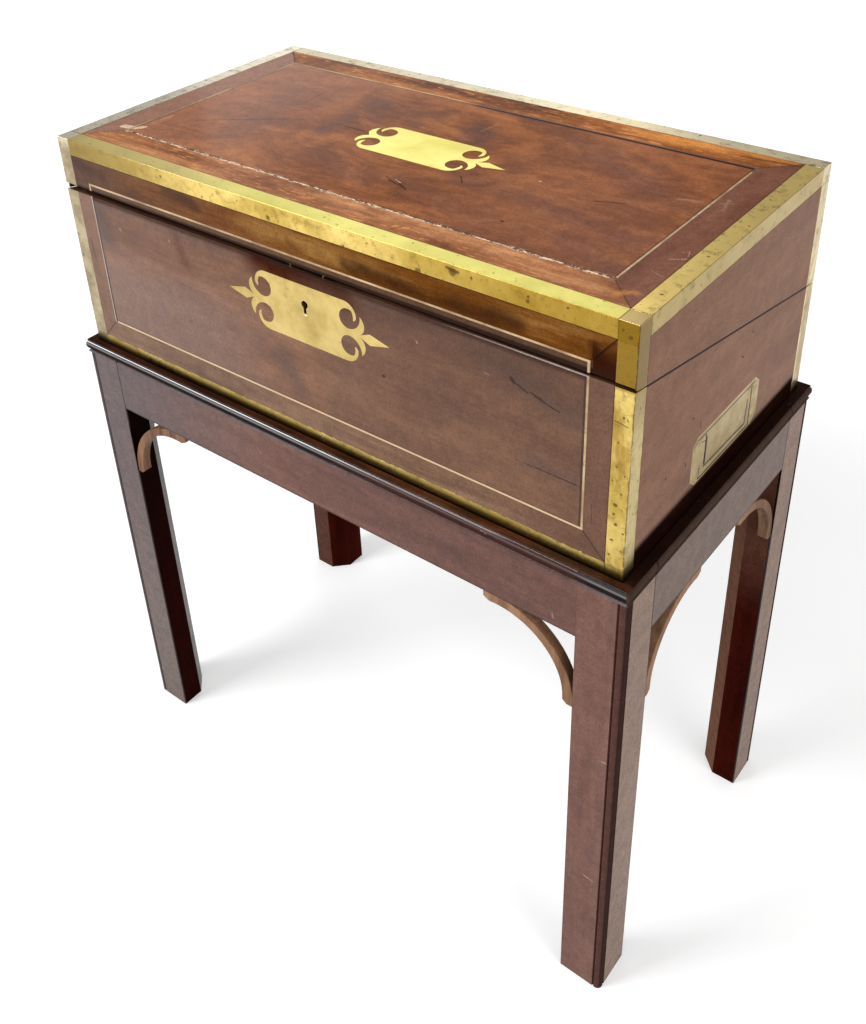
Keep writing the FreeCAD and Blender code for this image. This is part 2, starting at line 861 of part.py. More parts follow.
def lid_string():
    outer = front_field(-string_x, string_x, seam_front - 1, lid_string_z)
    inner = front_field(-string_x + string_width, string_x - string_width, seam_front - 2,
                        lid_string_z - string_width)
    return outer.cut(inner)


def lid_front_panel():
    return front_field(-string_x + string_width, string_x - string_width, seam_front - 1,
                       lid_string_z - string_width)


# ---------------------------------------------------------------- top veneers
top_string_x = panel_x - top_banding
top_string_y = panel_y - top_banding


def top_field(x, y):
    return block(-x, x, -y, y, box_top - veneer, box_top)


def top_bandings():
    """Four mitred cross-banding strips on the lid's top."""
    y = panel_y
    front = profile_xy([(-panel_x, -y), (panel_x, -y), (top_string_x, -top_string_y),
                        (-top_string_x, -top_string_y)], box_top - veneer, box_top)
    side = profile_xy([(-panel_x, -y), (-top_string_x, -top_string_y), (-top_string_x, top_string_y),
                       (-panel_x, y)], box_top - veneer, box_top)
    return [front, mirror_y(front), side, mirror_x(side)]


# ---------------------------------------------------------------- lower half
def build_base():
    wedge = lower_wedge()
    angles = [piece.common(wedge) for piece in four_corners(corner_angle(box_bottom, box_top))]
    foot = block(-panel_x, panel_x, -box_y, -box_y + brass_thickness, box_bottom, band_bottom)
    plate = escutcheon_blank()
    bore = keyhole_bore()
    screws = handle_screws()
    screws += [mirror_x(screw) for screw in screws]

    front = wedge.common(block(-box_x, box_x, -box_y, -inner_y, box_bottom, box_top))
    away = angles + [foot, front_field(-panel_x, panel_x, band_bottom, box_top), plate, bore, lock_case_blank()]
    save("base_front_board", front.cut(away))
    back = wedge.common(block(-box_x, box_x, inner_y, box_y, box_bottom, box_top))
    save("base_back_board", back.cut(angles + hinge_room(False)))
    right = wedge.common(block(inner_x, box_x, -inner_y, inner_y, box_bottom, box_top))
    right_fittings = [handle_plate_blank()] + trunnion_holes()
    left_fittings = [mirror_x(shape) for shape in right_fittings]
    away = angles + screws + flap_holes(-1)
    save("base_right_end", right.cut(away + right_fittings))
    save("base_left_end", mirror_x(right).cut(away + left_fittings))
    save("base_bottom_board", block(-inner_x, inner_x, -inner_y, inner_y, box_bottom,
                                    box_bottom + bottom_thickness))

    save("base_front_panel", base_panel().common(wedge).cut([plate, bore]))
    save("base_front_banding", [piece.common(wedge) for piece in base_banding()])
    save("base_front_string", base_string().common(wedge))
    save("base_corner_strips", angles)
    save("base_foot_strip", foot)
    save("escutcheon", plate.cut(bore))
    save("lock_case", lock_case())
    save("lock_bolt", lock_bolt())

    right_plate = handle_plate()
    right_bail = bail()
    save("handle_plate_right", right_plate)
    save("handle_plate_left", mirror_x(right_plate))
    save("handle_bail_right", right_bail)
    save("handle_bail_left", mirror_x(right_bail))
    save("hinge_lower_leaves", hinge_set(False))
    save("box_screws", screws + hinge_screw_set(False))


# ---------------------------------------------------------------- lid
def build_lid():
    wedge = upper_wedge()
    frame = edging()
    corners = [piece.common(wedge) for piece in four_corners(lid_corner(hinge_z))]
    ornament = lid_ornament()
    brass = frame + corners
    board_low = box_top - board
    field = block(-panel_x, panel_x, -panel_y, panel_y, box_top - veneer, box_top)
    link = link_plate()

    top = block(-box_x, box_x, -box_y, box_y, board_low, box_top)
    save("lid_top_board", top.cut(brass + [field, ornament]))
    front = wedge.common(block(-box_x, box_x, -box_y, -inner_y, hinge_z, board_low))
    save("lid_front_rail", front.cut(brass + [front_field(-panel_x, panel_x, hinge_z, band_top), link_bed()]))
    back = wedge.common(block(-box_x, box_x, inner_y, box_y, hinge_z, board_low))
    save("lid_back_board", back.cut(brass + hinge_room(True)))
    right = wedge.common(block(inner_x, box_x, -inner_y, inner_y, hinge_z, board_low))
    away = brass + flap_holes(1)
    save("lid_right_end", right.cut(away))
    save("lid_left_end", mirror_x(right).cut(away))

    inner_field = top_field(top_string_x - string_width, top_string_y - string_width)
    save("lid_top_panel", inner_field.cut(ornament))
    save("lid_top_string", top_field(top_string_x, top_string_y).cut(inner_field))
    save("lid_top_banding", top_bandings())
    save("lid_front_panel", lid_front_panel().common(wedge))
    save("lid_front_string", lid_string().common(wedge))
    save("lid_front_banding", [piece.common(wedge) for piece in lid_banding()])
    save("lid_edging", frame)
    save("lid_corner_pieces", corners)
    save("lid_ornament", ornament)
    save("lock_link_plate", link)
    save("hinge_upper_leaves", hinge_set(True))
    save("lid_screws", hinge_screw_set(True))


# ---------------------------------------------------------------- writing flaps
flap_half = inner_x - flap_side_gap
flap_axis_drop = flap_drop + flap_thickness / 2
flap_under = flap_drop + flap_thickness
partition_front = lock_back + 2 * tray_gap + tray_depth
partition_back = partition_front + partition
flap_front = (box_y - partition_back - flap_under * slope_sin) / slope_cos - partition_gap


def flap_wood(sign):
    """Flap board in slope coordinates: under the seam (-1) or over it (+1)."""
    middle = sign * flap_axis_drop
    half = flap_thickness / 2
    slab = block(-flap_half, flap_half, -flap_front, -flap_back, middle - half, middle + half)
    roll = Part.makeCylinder(half, 2 * flap_half, Vector(-flap_half, -flap_back, middle), Vector(1, 0, 0))
    return fused([slab, roll])


def flap_leather(sign):
    """Leather let into the writing side of a flap."""
    face = sign * flap_drop
    low = min(face, face + sign * leather_thickness)
    return block(-flap_half + leather_margin, flap_half - leather_margin, -flap_front + leather_margin,
                 -flap_back - leather_margin, low, low + leather_thickness)


def flap_pins(sign, radius, extra):
    """Two pivot pins standing out of the ends of a flap's back edge."""
    middle = sign * flap_axis_drop
    root = flap_half - 1
    return [Part.makeCylinder(radius, flap_pin_length + 1 + extra, Vector(side * root, -flap_back, middle),
                              Vector(side, 0, 0)) for side in (-1, 1)]


def flap_holes(sign):
    """Blind holes for the pivot pins in the box ends."""
    return [tilt(hole) for hole in flap_pins(sign, flap_pin_radius + flap_pin_fit, flap_pin_end_gap)]


def flap_ledges(sign):
    """Strips glued to the ends that a flap lies on."""
    near = sign * (flap_drop + flap_thickness + flap_rest_gap)
    low = min(near, near + sign * ledge_height)
    strip = block(-inner_x, -inner_x + ledge_width, -flap_front + ledge_end_gap, -flap_back - flap_thickness,
                  low, low + ledge_height)
    return [tilt(strip), tilt(mirror_x(strip))]


def build_flaps():
    for name, sign in (("base", -1), ("lid", 1)):
        leather = flap_leather(sign)
        flap = fused([flap_wood(sign).cut(leather)] + flap_pins(sign, flap_pin_radius, 0))
        save(name + "_flap_board", tilt(flap))
        save(name + "_flap_leather", tilt(leather))
        save(name + "_flap_ledges", flap_ledges(sign))


# ---------------------------------------------------------------- pen tray and ink bottles
tray_floor_top = seam_front - tray_floor_drop


def build_fittings():
    floor_low = tray_floor_top - tray_floor_thickness
    save("tray_floor", block(-inner_x, inner_x, -inner_y, partition_front, floor_low, tray_floor_top))
    foot = box_bottom + bottom_thickness
    below = partition_gap
    front_top = seam_z(partition_front) - below
    back_top = seam_z(partition_back) - below
    save("partition_board", profile_yz([(partition_front, foot), (partition_front, front_top),
                                        (partition_back, back_top), (partition_back, foot)], -inner_x, inner_x))
    y0 = lock_back + tray_gap
    y1 = partition_front - tray_gap
    middle = (y0 + y1) / 2
    top = tray_floor_top + tray_height
    half = inner_x - tray_gap
    well_low = top - well_depth
    tray = block(-half, half, y0, y1, tray_floor_top, top)
    reach = tray_groove_length / 2 - tray_groove_radius
    groove_z = top + tray_groove_rise
    groove_start = Vector(-reach, middle, groove_z)
    groove = [Part.makeCylinder(tray_groove_radius, 2 * reach, groove_start, Vector(1, 0, 0))]
    wells = []
    bottles = []
    caps = []
    size = bottle_size / 2
    for side in (-1, 1):
        x = side * bottle_x
        groove.append(Part.makeSphere(tray_groove_radius, Vector(side * reach, middle, groove_z)))
        hold = size + bottle_fit
        wells.append(block(x - hold, x + hold, middle - hold, middle + hold, well_low, top + 1))
        shoulder = Vector(x, middle, well_low + bottle_height)
        body = block(x - size, x + size, middle - size, middle + size, well_low, well_low + bottle_height)
        neck_wall = Part.makeCylinder(bottle_neck_radius, bottle_neck_height, shoulder)
        well = Part.makeCylinder(bottle_neck_radius - bottle_wall / 2, bottle_height + bottle_neck_height,
                                 Vector(x, middle, well_low + bottle_wall))
        bottles.append(fused([body, neck_wall]).cut(well))
        caps.append(Part.makeCylinder(cap_radius, cap_height, shoulder).cut(neck_wall))
    save("pen_tray", tray.cut(groove + wells))
    save("ink_bottles", bottles)
    save("ink_bottle_caps", caps)


build_legs()
build_aprons()
build_brackets()
build_base()
build_lid()
build_flaps()
build_fittings()
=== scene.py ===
import math
from functools import reduce
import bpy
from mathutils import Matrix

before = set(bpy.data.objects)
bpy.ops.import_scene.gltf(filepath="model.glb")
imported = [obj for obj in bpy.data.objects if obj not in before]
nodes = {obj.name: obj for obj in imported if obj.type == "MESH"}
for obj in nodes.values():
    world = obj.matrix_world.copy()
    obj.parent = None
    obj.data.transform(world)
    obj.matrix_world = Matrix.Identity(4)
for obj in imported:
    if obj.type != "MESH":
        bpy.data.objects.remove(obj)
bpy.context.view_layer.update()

from types import SimpleNamespace

import bpy
from mathutils import Matrix, Vector

# Metres, in the shared frame: +X along the front to the right, -Y is the front, +Z is up.
# X and Y are measured from the middle, so a half length stands for both sides.
MM = 0.001
STAND_X = 0.258
STAND_Y = 0.1375
STAND_TOP = 0.421
# Inner sides of the legs, and X plus Y at the chamfer between them.
LEG_X = STAND_X - 0.0355
LEG_Y = STAND_Y - 0.0355
CHAMFER = STAND_X + STAND_Y - 0.0564
# Width of the bead with its quirk on a leg's outer corner, and height of the moulded edge.
CORNER = 0.0069
MOULD = 0.012
BOX_X = 0.25
BOX_Y = 0.131
BOX_TOP = 0.602
# Inner edges of the brass strips, top of the one at the foot, and lower edge of the lid's edging.
STRIP_WIDTH = 0.013
STRIP_X = BOX_X - STRIP_WIDTH
STRIP_Y = BOX_Y - STRIP_WIDTH
STRIP_FOOT = 0.43
EDGING_FOOT = BOX_TOP - STRIP_WIDTH
# Edges of the figured panel on the lid's top.
PANEL_X = 0.2118
PANEL_Y = 0.0928
# Height of the seam at the front, its fall toward the back, and the slope of the banding's mitres.
SEAM_FRONT = BOX_TOP - 0.043
SEAM_SLOPE = 0.1889
BANDING_SLOPE = 17.3 / 16.3

# Marks and figure are listed in millimetres. These are the planes that they lie on.
TOP_MM = 602
FRONT_MM = -131
RIGHT_MM = 250


# ---------------------------------------------------------------- node helpers
class Graph:
    """Small helper that adds shader nodes and links them."""

    def __init__(self, tree):
        self.tree = tree

    def add(self, kind, inputs=None, **settings):
        node = self.tree.nodes.new(kind)
        for key, value in settings.items():
            setattr(node, key, value)
        for key, value in (inputs or {}).items():
            self.put(node.inputs[key], value)
        return node

    def put(self, socket, value):
        if isinstance(value, bpy.types.NodeSocket):
            self.tree.links.new(value, socket)
        elif value is not None:
            if hasattr(socket.default_value, "__len__") and not hasattr(value, "__len__"):
                value = [value] * len(socket.default_value)
            elif hasattr(value, "__len__") and len(value) == 3 and len(socket.default_value) == 4:
                value = (*value, 1)
            socket.default_value = value

    def set(self, name, value):
        """Value or link for a socket of the material's shader."""
        self.put(self.shader.inputs[name], value)

    def math(self, operation, a, b=None, clamp=False):
        node = self.add("ShaderNodeMath", operation=operation, use_clamp=clamp)
        self.put(node.inputs[0], a)
        self.put(node.inputs[1], b)
        return node.outputs[0]

    def plus(self, a, b):
        return self.math("ADD", a, b)

    def less(self, a, b):
        return self.math("SUBTRACT", a, b)

    def times(self, *factors):
        return reduce(lambda a, b: self.math("MULTIPLY", a, b), factors)

    def most(self, *masks):
        """Strongest of several masks."""
        return reduce(lambda a, b: self.math("MAXIMUM", a, b), masks)

    def size(self, value):
        """Value without its sign."""
        return self.math("ABSOLUTE", value)

    def mix(self, factor, a, b, blend="MIX"):
        node = self.tree.nodes.new("ShaderNodeMix")
        node.data_type = "RGBA"
        node.blend_type = blend
        self.put(node.inputs[0], factor)
        self.put(node.inputs[6], a)
        self.put(node.inputs[7], b)
        return node.outputs[2]

    def layers(self, colour, rows):
        """Colour under several others, each (mask, colour), the last one on top."""
        for mask, other in rows:
            colour = self.mix(mask, colour, other)
        return colour

    def ramp(self, factor, stops):
        node = self.add("ShaderNodeValToRGB")
        elements = node.color_ramp.elements
        while len(elements) < len(stops):
            elements.new(0.5)
        for element, (place, colour) in zip(elements, stops):
            element.position = place
            element.color = (*colour, 1)
        self.put(node.inputs[0], factor)
        return node.outputs[0]

    def span(self, value, low, high, to_low=0, to_high=1):
        """Smooth step from to_low to to_high while the value goes from low to high."""
        node = self.add("ShaderNodeMapRange", interpolation_type="SMOOTHSTEP")
        for socket, number in zip(node.inputs, (value, low, high, to_low, to_high)):
            self.put(socket, number)
        return node.outputs[0]

    def past(self, value, limit, blur=0.0001):
        """1 past a limit and 0 before it."""
        return self.span(value, limit - blur, limit + blur)

    def before(self, value, limit, blur=0.0001):
        """1 before a limit and 0 past it."""
        return self.span(value, limit + blur, limit - blur)

    def line(self, value, core=0.0003, rim=0.0008, strength=1):
        """Thin line where a value is near zero."""
        return self.span(self.size(value), core, rim, strength, 0)

    def noise(self, vector, scale, detail=4, rough=0.55, distortion=0, colour=False):
        node = self.add("ShaderNodeTexNoise", {"Vector": vector, "Scale": scale, "Detail": detail,
                                               "Roughness": rough, "Distortion": distortion})
        return node.outputs["Color" if colour else "Fac"]

    def stretch(self, vector, scale, rotation=(0, 0, 0), location=(0, 0, 0)):
        node = self.add("ShaderNodeMapping", {"Vector": vector, "Location": location,
                                              "Rotation": rotation, "Scale": scale})
        return node.outputs[0]

    def vector(self, operation, a, b):
        node = self.add("ShaderNodeVectorMath", operation=operation)
        self.put(node.inputs[0], a)
        self.put(node.inputs[1], b)
        return node.outputs[0]

    def scaled(self, a, factor):
        node = self.add("ShaderNodeVectorMath", operation="SCALE")
        self.put(node.inputs[0], a)
        self.put(node.inputs["Scale"], factor)
        return node.outputs[0]

    def place(self):
        """Position in the shared frame at rest, which moves with the piece."""
        return self.add("ShaderNodeTexCoord").outputs["Object"]

    def axes(self, place):
        node = self.add("ShaderNodeSeparateXYZ", {"Vector": place})
        return node.outputs[0], node.outputs[1], node.outputs[2]

    def wobble(self, place, scale, reach, detail=3):
        """Place pushed about by noise, so that edges of marks run ragged."""
        shift = self.noise(place, scale, detail, 0.6, colour=True)
        push = self.vector("SUBTRACT", shift, (0.5, 0.5, 0.5))
        return self.vector("ADD", place, self.scaled(push, reach))


def stroke_group():
    """Node group: how far a place lies from a straight stroke, in widths of the stroke."""
    tree = bpy.data.node_groups.new("stroke", "ShaderNodeTree")
    for name in ("Place", "Start", "End"):
        tree.interface.new_socket(name, in_out="INPUT", socket_type="NodeSocketVector")
    tree.interface.new_socket("Width", in_out="INPUT", socket_type="NodeSocketFloat")
    tree.interface.new_socket("Gap", in_out="OUTPUT", socket_type="NodeSocketFloat")
    g = Graph(tree)
    source = g.add("NodeGroupInput")
    sink = g.add("NodeGroupOutput")

    def dot(a, b):
        node = g.add("ShaderNodeVectorMath", operation="DOT_PRODUCT")
        g.put(node.inputs[0], a)
        g.put(node.inputs[1], b)
        return node.outputs["Value"]

    run = g.vector("SUBTRACT", source.outputs["End"], source.outputs["Start"])
    away = g.vector("SUBTRACT", source.outputs["Place"], source.outputs["Start"])
    part = g.math("DIVIDE", dot(away, run), dot(run, run), clamp=True)
    rest = g.vector("SUBTRACT", away, g.scaled(run, part))
    gap = g.math("SQRT", dot(rest, rest))
    g.put(sink.inputs["Gap"], g.math("DIVIDE", gap, source.outputs["Width"]))
    return tree


STROKE = stroke_group()
# Keeps the stroke of a round mark from having no length.
NO_ZERO_LENGTH = 0.0000011


def strokes(g, place, rows, soft=False):
    """Mask of several strokes, each (start, end, width) in millimetres and perhaps a strength."""
    masks = []
    for start, end, width, *strength in rows:
        node = g.add("ShaderNodeGroup")
        node.node_tree = STROKE
        g.put(node.inputs["Place"], place)
        g.put(node.inputs["Start"], [v * MM for v in start])
        g.put(node.inputs["End"], [v * MM + NO_ZERO_LENGTH for v in end])
        g.put(node.inputs["Width"], width * MM)
        top = strength[0] if strength else 1
        masks.append(g.span(node.outputs["Gap"], 0 if soft else 0.45, 1, top, 0))
    return g.most(*masks)


def laid(rows, lift):
    """Strokes from rows (a, b, a, b, width[, strength]) and round marks from rows (a, b, radius)."""
    rows = [(*row[:2], *row) if len(row) == 3 else row for row in rows]
    return [(lift(a, b), lift(c, d), *rest) for a, b, c, d, *rest in rows]


def on_top(rows):
    """Marks on the lid's top, placed by x and y."""
    return laid(rows, lambda x, y: (x, y, TOP_MM))


def on_front(rows):
    """Marks on the front, placed by x and z."""
    return laid(rows, lambda x, z: (x, FRONT_MM, z))


def on_right(rows):
    """Marks on the right end, placed by y and z."""
    return laid(rows, lambda y, z: (RIGHT_MM, y, z))


def new_material(name):
    """Graph of a new material with its shader, and the place on the piece."""
    material = bpy.data.materials.new(name)
    material.use_nodes = True
    material.node_tree.nodes.clear()
    g = Graph(material.node_tree)
    g.material = material
    g.shader = g.add("ShaderNodeBsdfPrincipled")
    g.add("ShaderNodeOutputMaterial", {"Surface": g.shader.outputs[0]})
    return g, g.place()


# ---------------------------------------------------------------- wood
GRAIN = {"X": (1, 9, 9), "Y": (9, 1, 9), "Z": (9, 9, 1)}


def grain(g, place, axis, seed=0, figure=1, fine=14):
    """Slow figure and fine streaks along the grain, as one value about 0.5, and the pores."""
    shifted = g.stretch(place, (1, 1, 1), location=(seed, seed * 0.7, seed * 0.3))
    slow = g.noise(g.stretch(shifted, [v * 1.6 for v in GRAIN[axis]]), 1, 3, 0.5, 0.6 * figure)
    streak = g.noise(g.stretch(shifted, [v * fine for v in GRAIN[axis]]), 1, 5, 0.65, 0.3)
    blend = g.plus(g.times(slow, 0.55), g.times(streak, 0.45))
    pore = g.noise(g.stretch(shifted, [30 if v == 1 else 810 for v in GRAIN[axis]]), 1, 2)
    return blend, g.span(pore, 0.6, 0.72)


def polish(g, colour, coat, coat_rough, ior=1.5):
    """French polish over wood."""
    g.set("Base Color", colour)
    g.set("Roughness", 0.45)
    g.set("Specular IOR Level", 0)
    g.set("Coat Weight", coat)
    g.set("Coat Roughness", coat_rough)
    g.set("Coat IOR", ior)


def bumped(g, height, strength, distance):
    bump = g.add("ShaderNodeBump", {"Height": height, "Strength": strength, "Distance": distance})
    g.set("Normal", bump.outputs[0])


def grit(g, place, colour, depth=0.16):
    """Fine unevenness of old polish."""
    speckle = g.span(g.noise(place, 700, 2, 0.7), 0.3, 0.7, 1 - depth, 1 + depth)
    soft = g.span(g.noise(place, 110, 3, 0.6), 0.3, 0.7, 1 - 0.6 * depth, 1 + 0.6 * depth)
    return g.mix(1, colour, g.times(speckle, soft), "MULTIPLY")


def three_stops(dark, middle, light):
    """Ramp from dark through middle to light."""
    return [(0.36, dark), (0.5, middle), (0.64, light)]


def plain_wood(name, axis, tones, seed, coat=1, coat_rough=0.1):
    """Wood of the tones dark, middle and light, with dark pores."""
    g, place = new_material(name)
    blend, pore = grain(g, place, axis, seed)
    colour = g.ramp(blend, three_stops(*tones))
    colour = g.mix(g.times(pore, 0.35), colour, tones[0])
    polish(g, colour, coat, coat_rough)
    bumped(g, g.times(pore, -1), 0.2, 0.0002)
    return g.material


def beyond(g, value, limit):
    """1 where the size of a value is past a limit, over a tenth of a millimetre."""
    return g.span(g.size(value), limit - 0.0001, limit)


# Tones are dark, middle and light.
STAND_TONES = ((0.085, 0.03, 0.022), (0.135, 0.054, 0.038), (0.185, 0.08, 0.056))
# Painted shade of the faces turned inward.
SHADE_TONES = ((0.018, 0.0014, 0.0006), (0.038, 0.0034, 0.0014), (0.062, 0.007, 0.003))
STAND_SCUFFS = [
    ((238, -137, 130), (246, -137, 129), 0.8), ((226, -137, 128), (232, -137, 131), 0.7),
    ((247, -137, 262), (250, -137, 262), 1), ((150, -138, 417), (154, -138, 416), 1.1),
    ((-60, -137, 392), (-57, -137, 389), 0.8), ((258, -118, 90), (258, -116, 96), 0.8),
    ((205, -138, 374), (206, -138, 370), 0.9),
]


def stand_masks(g, place):
    """Masks of the stand's surfaces, by name."""
    m = SimpleNamespace()
    m.x, m.y, m.z = g.axes(place)
    m.size_x = g.size(m.x)
    m.size_y = g.size(m.y)
    m.outer = g.most(beyond(g, m.x, STAND_X - 0.001), beyond(g, m.y, STAND_Y - 0.001),
                     g.past(m.z, STAND_TOP - 0.0059))
    m.right = g.span(m.x, STAND_X - 0.001, STAND_X - 0.0009)
    m.left_legs = g.span(m.x, -0.2, -0.21)
    m.back_legs = g.span(m.y, 0.09, 0.1)
    m.corner = g.times(g.past(m.size_x, STAND_X - CORNER), g.past(m.size_y, STAND_Y - CORNER))
    m.moulded = g.past(m.z, STAND_TOP - MOULD)
    m.ledge = g.span(m.z, STAND_TOP - 0.0002, STAND_TOP - 0.0001)
    # Browner stretch of the front's moulded edge.
    m.warm = g.times(g.span(m.x, -0.02, 0.08), g.span(m.x, 0.235, 0.215))
    return m


def stand_face(g, m, blend, cloud):
    """Outer faces: greyer to the left and paler on the right side, both painted sheen, and darker on the
    corner beads, with painted shade on their right side.
    """
    near_foot = g.times(m.left_legs, g.span(m.z, 0.3, 0.12, 0, 0.7))
    right_rail = g.times(m.right, g.before(m.size_y, LEG_Y))
    # Painted shade: the beads darkest on their right side.
    bead = g.mix(m.right, (0.085, 0.036, 0.028), (0.026, 0.007, 0.005))
    bead = g.mix(m.left_legs, bead, (0.08, 0.064, 0.066))
    return g.layers(g.ramp(blend, three_stops(*STAND_TONES)), [
        (g.span(cloud, 0.52, 0.72, 0, 0.4), STAND_TONES[0]),
        # Painted sheen: greyer toward the left.
        (g.span(m.x, -0.02, -0.24, 0, 0.75), (0.092, 0.078, 0.084)),
        (near_foot, (0.15, 0.108, 0.09)),
        # Painted sheen: the right side paler, the right apron a little less.
        (g.times(m.right, 0.75), (0.28, 0.19, 0.14)),
        (right_rail, (0.168, 0.112, 0.09)),
        (g.times(m.corner, 0.97), bead),
    ])


def stand_inside_light_and_shade(g, m, blend):
    """Dull dark red of the faces turned inward, which is painted shade, darkest on the front left leg
    and in the corner grooves, with painted light on the back legs and on the pale chamfer of the front
    left leg.
    """
    chamfer = g.before(g.plus(m.size_x, m.size_y), CHAMFER)
    far_right = g.times(g.span(m.x, 0.2, 0.21), m.back_legs)
    far_left = g.times(m.left_legs, m.back_legs, g.before(m.y, LEG_Y + 0.0003))
    near_left = g.times(m.left_legs, g.span(m.y, -0.09, -0.1))
    return g.layers(g.ramp(blend, three_stops(*SHADE_TONES)), [
        # Painted light on the back legs and the chamfers, painted shade on the front left leg and in the
        # corner grooves.
        (g.times(far_right, g.span(m.z, 0.2, 0.3, 0, 0.75)), (0.12, 0.05, 0.032)),
        (g.times(chamfer, far_right), (0.15, 0.07, 0.045)),
        (g.times(near_left, g.span(m.z, 0.1, 0.34, 0.65, 0.95)), (0.004, 0.0005, 0.0004)),
        (g.times(near_left, chamfer, g.span(m.y, -0.117, -0.1165)), (0.33, 0.32, 0.3)),
        (g.times(far_left, 0.35), (0.2, 0.11, 0.085)),
        (m.corner, (0.006, 0.002, 0.002)),
    ])


def stand_shelf(g, m, place, axis):
    """Flat top of the moulded edge, darker toward both ends, with painted shade beside the box."""
    streak_scale = (14, 14, 14) if axis == "Z" else [v * 5 for v in GRAIN[axis]]
    streak = g.noise(g.stretch(place, streak_scale), 4, 3)
    # Painted shade on the ledge beside the box's right end.
    shade_beside_box = g.times(g.span(m.x, 0.2495, 0.251), g.span(m.y, -0.1325, -0.13))
    darker_ends = g.most(g.span(m.x, 0.02, -0.1, 0, 0.7), g.span(m.x, 0.15, 0.24, 0, 0.55))
    return g.layers(g.ramp(streak, [(0.4, (0.03, 0.007, 0.004)), (0.62, (0.1, 0.028, 0.012))]), [
        (shade_beside_box, (0.009, 0.003, 0.002)),
        (darker_ends, (0.022, 0.009, 0.006)),
    ])


def stand_edge(g, m, colour, shelf):
    """Near-black moulded edge with a painted highlight on its bead and arris, and the joints of legs and
    aprons.
    """
    dark_edge = g.mix(m.warm, (0.012, 0.005, 0.005), (0.045, 0.014, 0.01))
    highlight_tint = g.mix(m.warm, (0.17, 0.14, 0.14), (0.12, 0.07, 0.06))
    bead = g.times(m.moulded, g.before(m.z, STAND_TOP - 0.0101))
    arris = g.times(g.past(m.z, STAND_TOP - 0.0006), g.span(m.z, STAND_TOP - 0.0002, STAND_TOP - 0.0003))
    # Painted highlight on the bead and the arris, left off the right side.
    worn = g.times(g.most(bead, arris), g.less(1, m.right))
    side_joint = g.times(g.line(g.less(m.size_y, LEG_Y)), beyond(g, m.x, STAND_X - 0.0015))
    front_joint = g.times(g.line(g.plus(m.x, LEG_X)), beyond(g, m.y, STAND_Y - 0.0015))
    return g.layers(colour, [
        (m.moulded, g.mix(m.right, dark_edge, (0.052, 0.028, 0.02))),
        (m.ledge, shelf),
        (g.times(worn, 0.75), highlight_tint),
        (g.most(side_joint, front_joint), (0.01, 0.003, 0.002)),
    ])


def stand_shine(g, m):
    """Coat of the stand: strong on the moulded edge, weak on the outer faces, nearly none inside."""
    under = g.times(m.moulded, g.most(g.span(m.z, STAND_TOP - 0.004, STAND_TOP - 0.005),
                                      g.span(m.z, STAND_TOP - 0.0016, STAND_TOP - 0.0011)))
    low_corner = g.times(m.corner, g.less(1, m.moulded))
    return g.layers(g.mix(m.moulded, g.span(m.outer, 0, 1, 0.01, 0.26), 1), [
        (g.times(m.moulded, m.warm), 0.4),
        (g.most(under, m.ledge, low_corner, g.times(m.right, m.moulded)), 0.05),
    ])


def stand_wood(name, axis, seed):
    """Old mahogany of the stand, with its scuffs and chips."""
    g, place = new_material(name)
    m = stand_masks(g, place)
    blend, _ = grain(g, place, axis, seed, 1, 10)
    face = stand_face(g, m, blend, g.noise(place, 12, 4, 0.6))
    colour = g.mix(m.outer, stand_inside_light_and_shade(g, m, blend), face)
    colour = stand_edge(g, m, colour, stand_shelf(g, m, place, axis))
    if axis != "Z":
        lower_arris = g.times(g.span(m.z, 0.366, 0.3645), g.span(m.z, 0.3635, 0.364))
        colour = g.mix(g.times(lower_arris, 0.6), colour, (0.02, 0.008, 0.006))
    scuffs = strokes(g, g.wobble(place, 60, 0.004), STAND_SCUFFS)
    colour = g.mix(g.times(scuffs, 0.55), colour, (0.42, 0.3, 0.24))
    chip = g.span(g.noise(place, 170, 3, 0.7), 0.66, 0.74, 0, 0.25)
    colour = g.mix(g.times(chip, m.outer), colour, (0.3, 0.2, 0.16))
    polish(g, grit(g, place, colour, 0.2), stand_shine(g, m), 0.06, 2)
    bumped(g, g.noise(g.stretch(place, [v * 3 for v in GRAIN[axis]]), 3, 3), 0.1, 0.0006)
    return g.material


def ragged_chip(g, place, row, low):
    """Pale chip with a ragged outline on the lid's top."""
    core = strokes(g, place, on_top([row]), soft=True)
    return g.span(g.times(core, g.noise(place, 420, 3, 0.7)), low, low + 0.04)


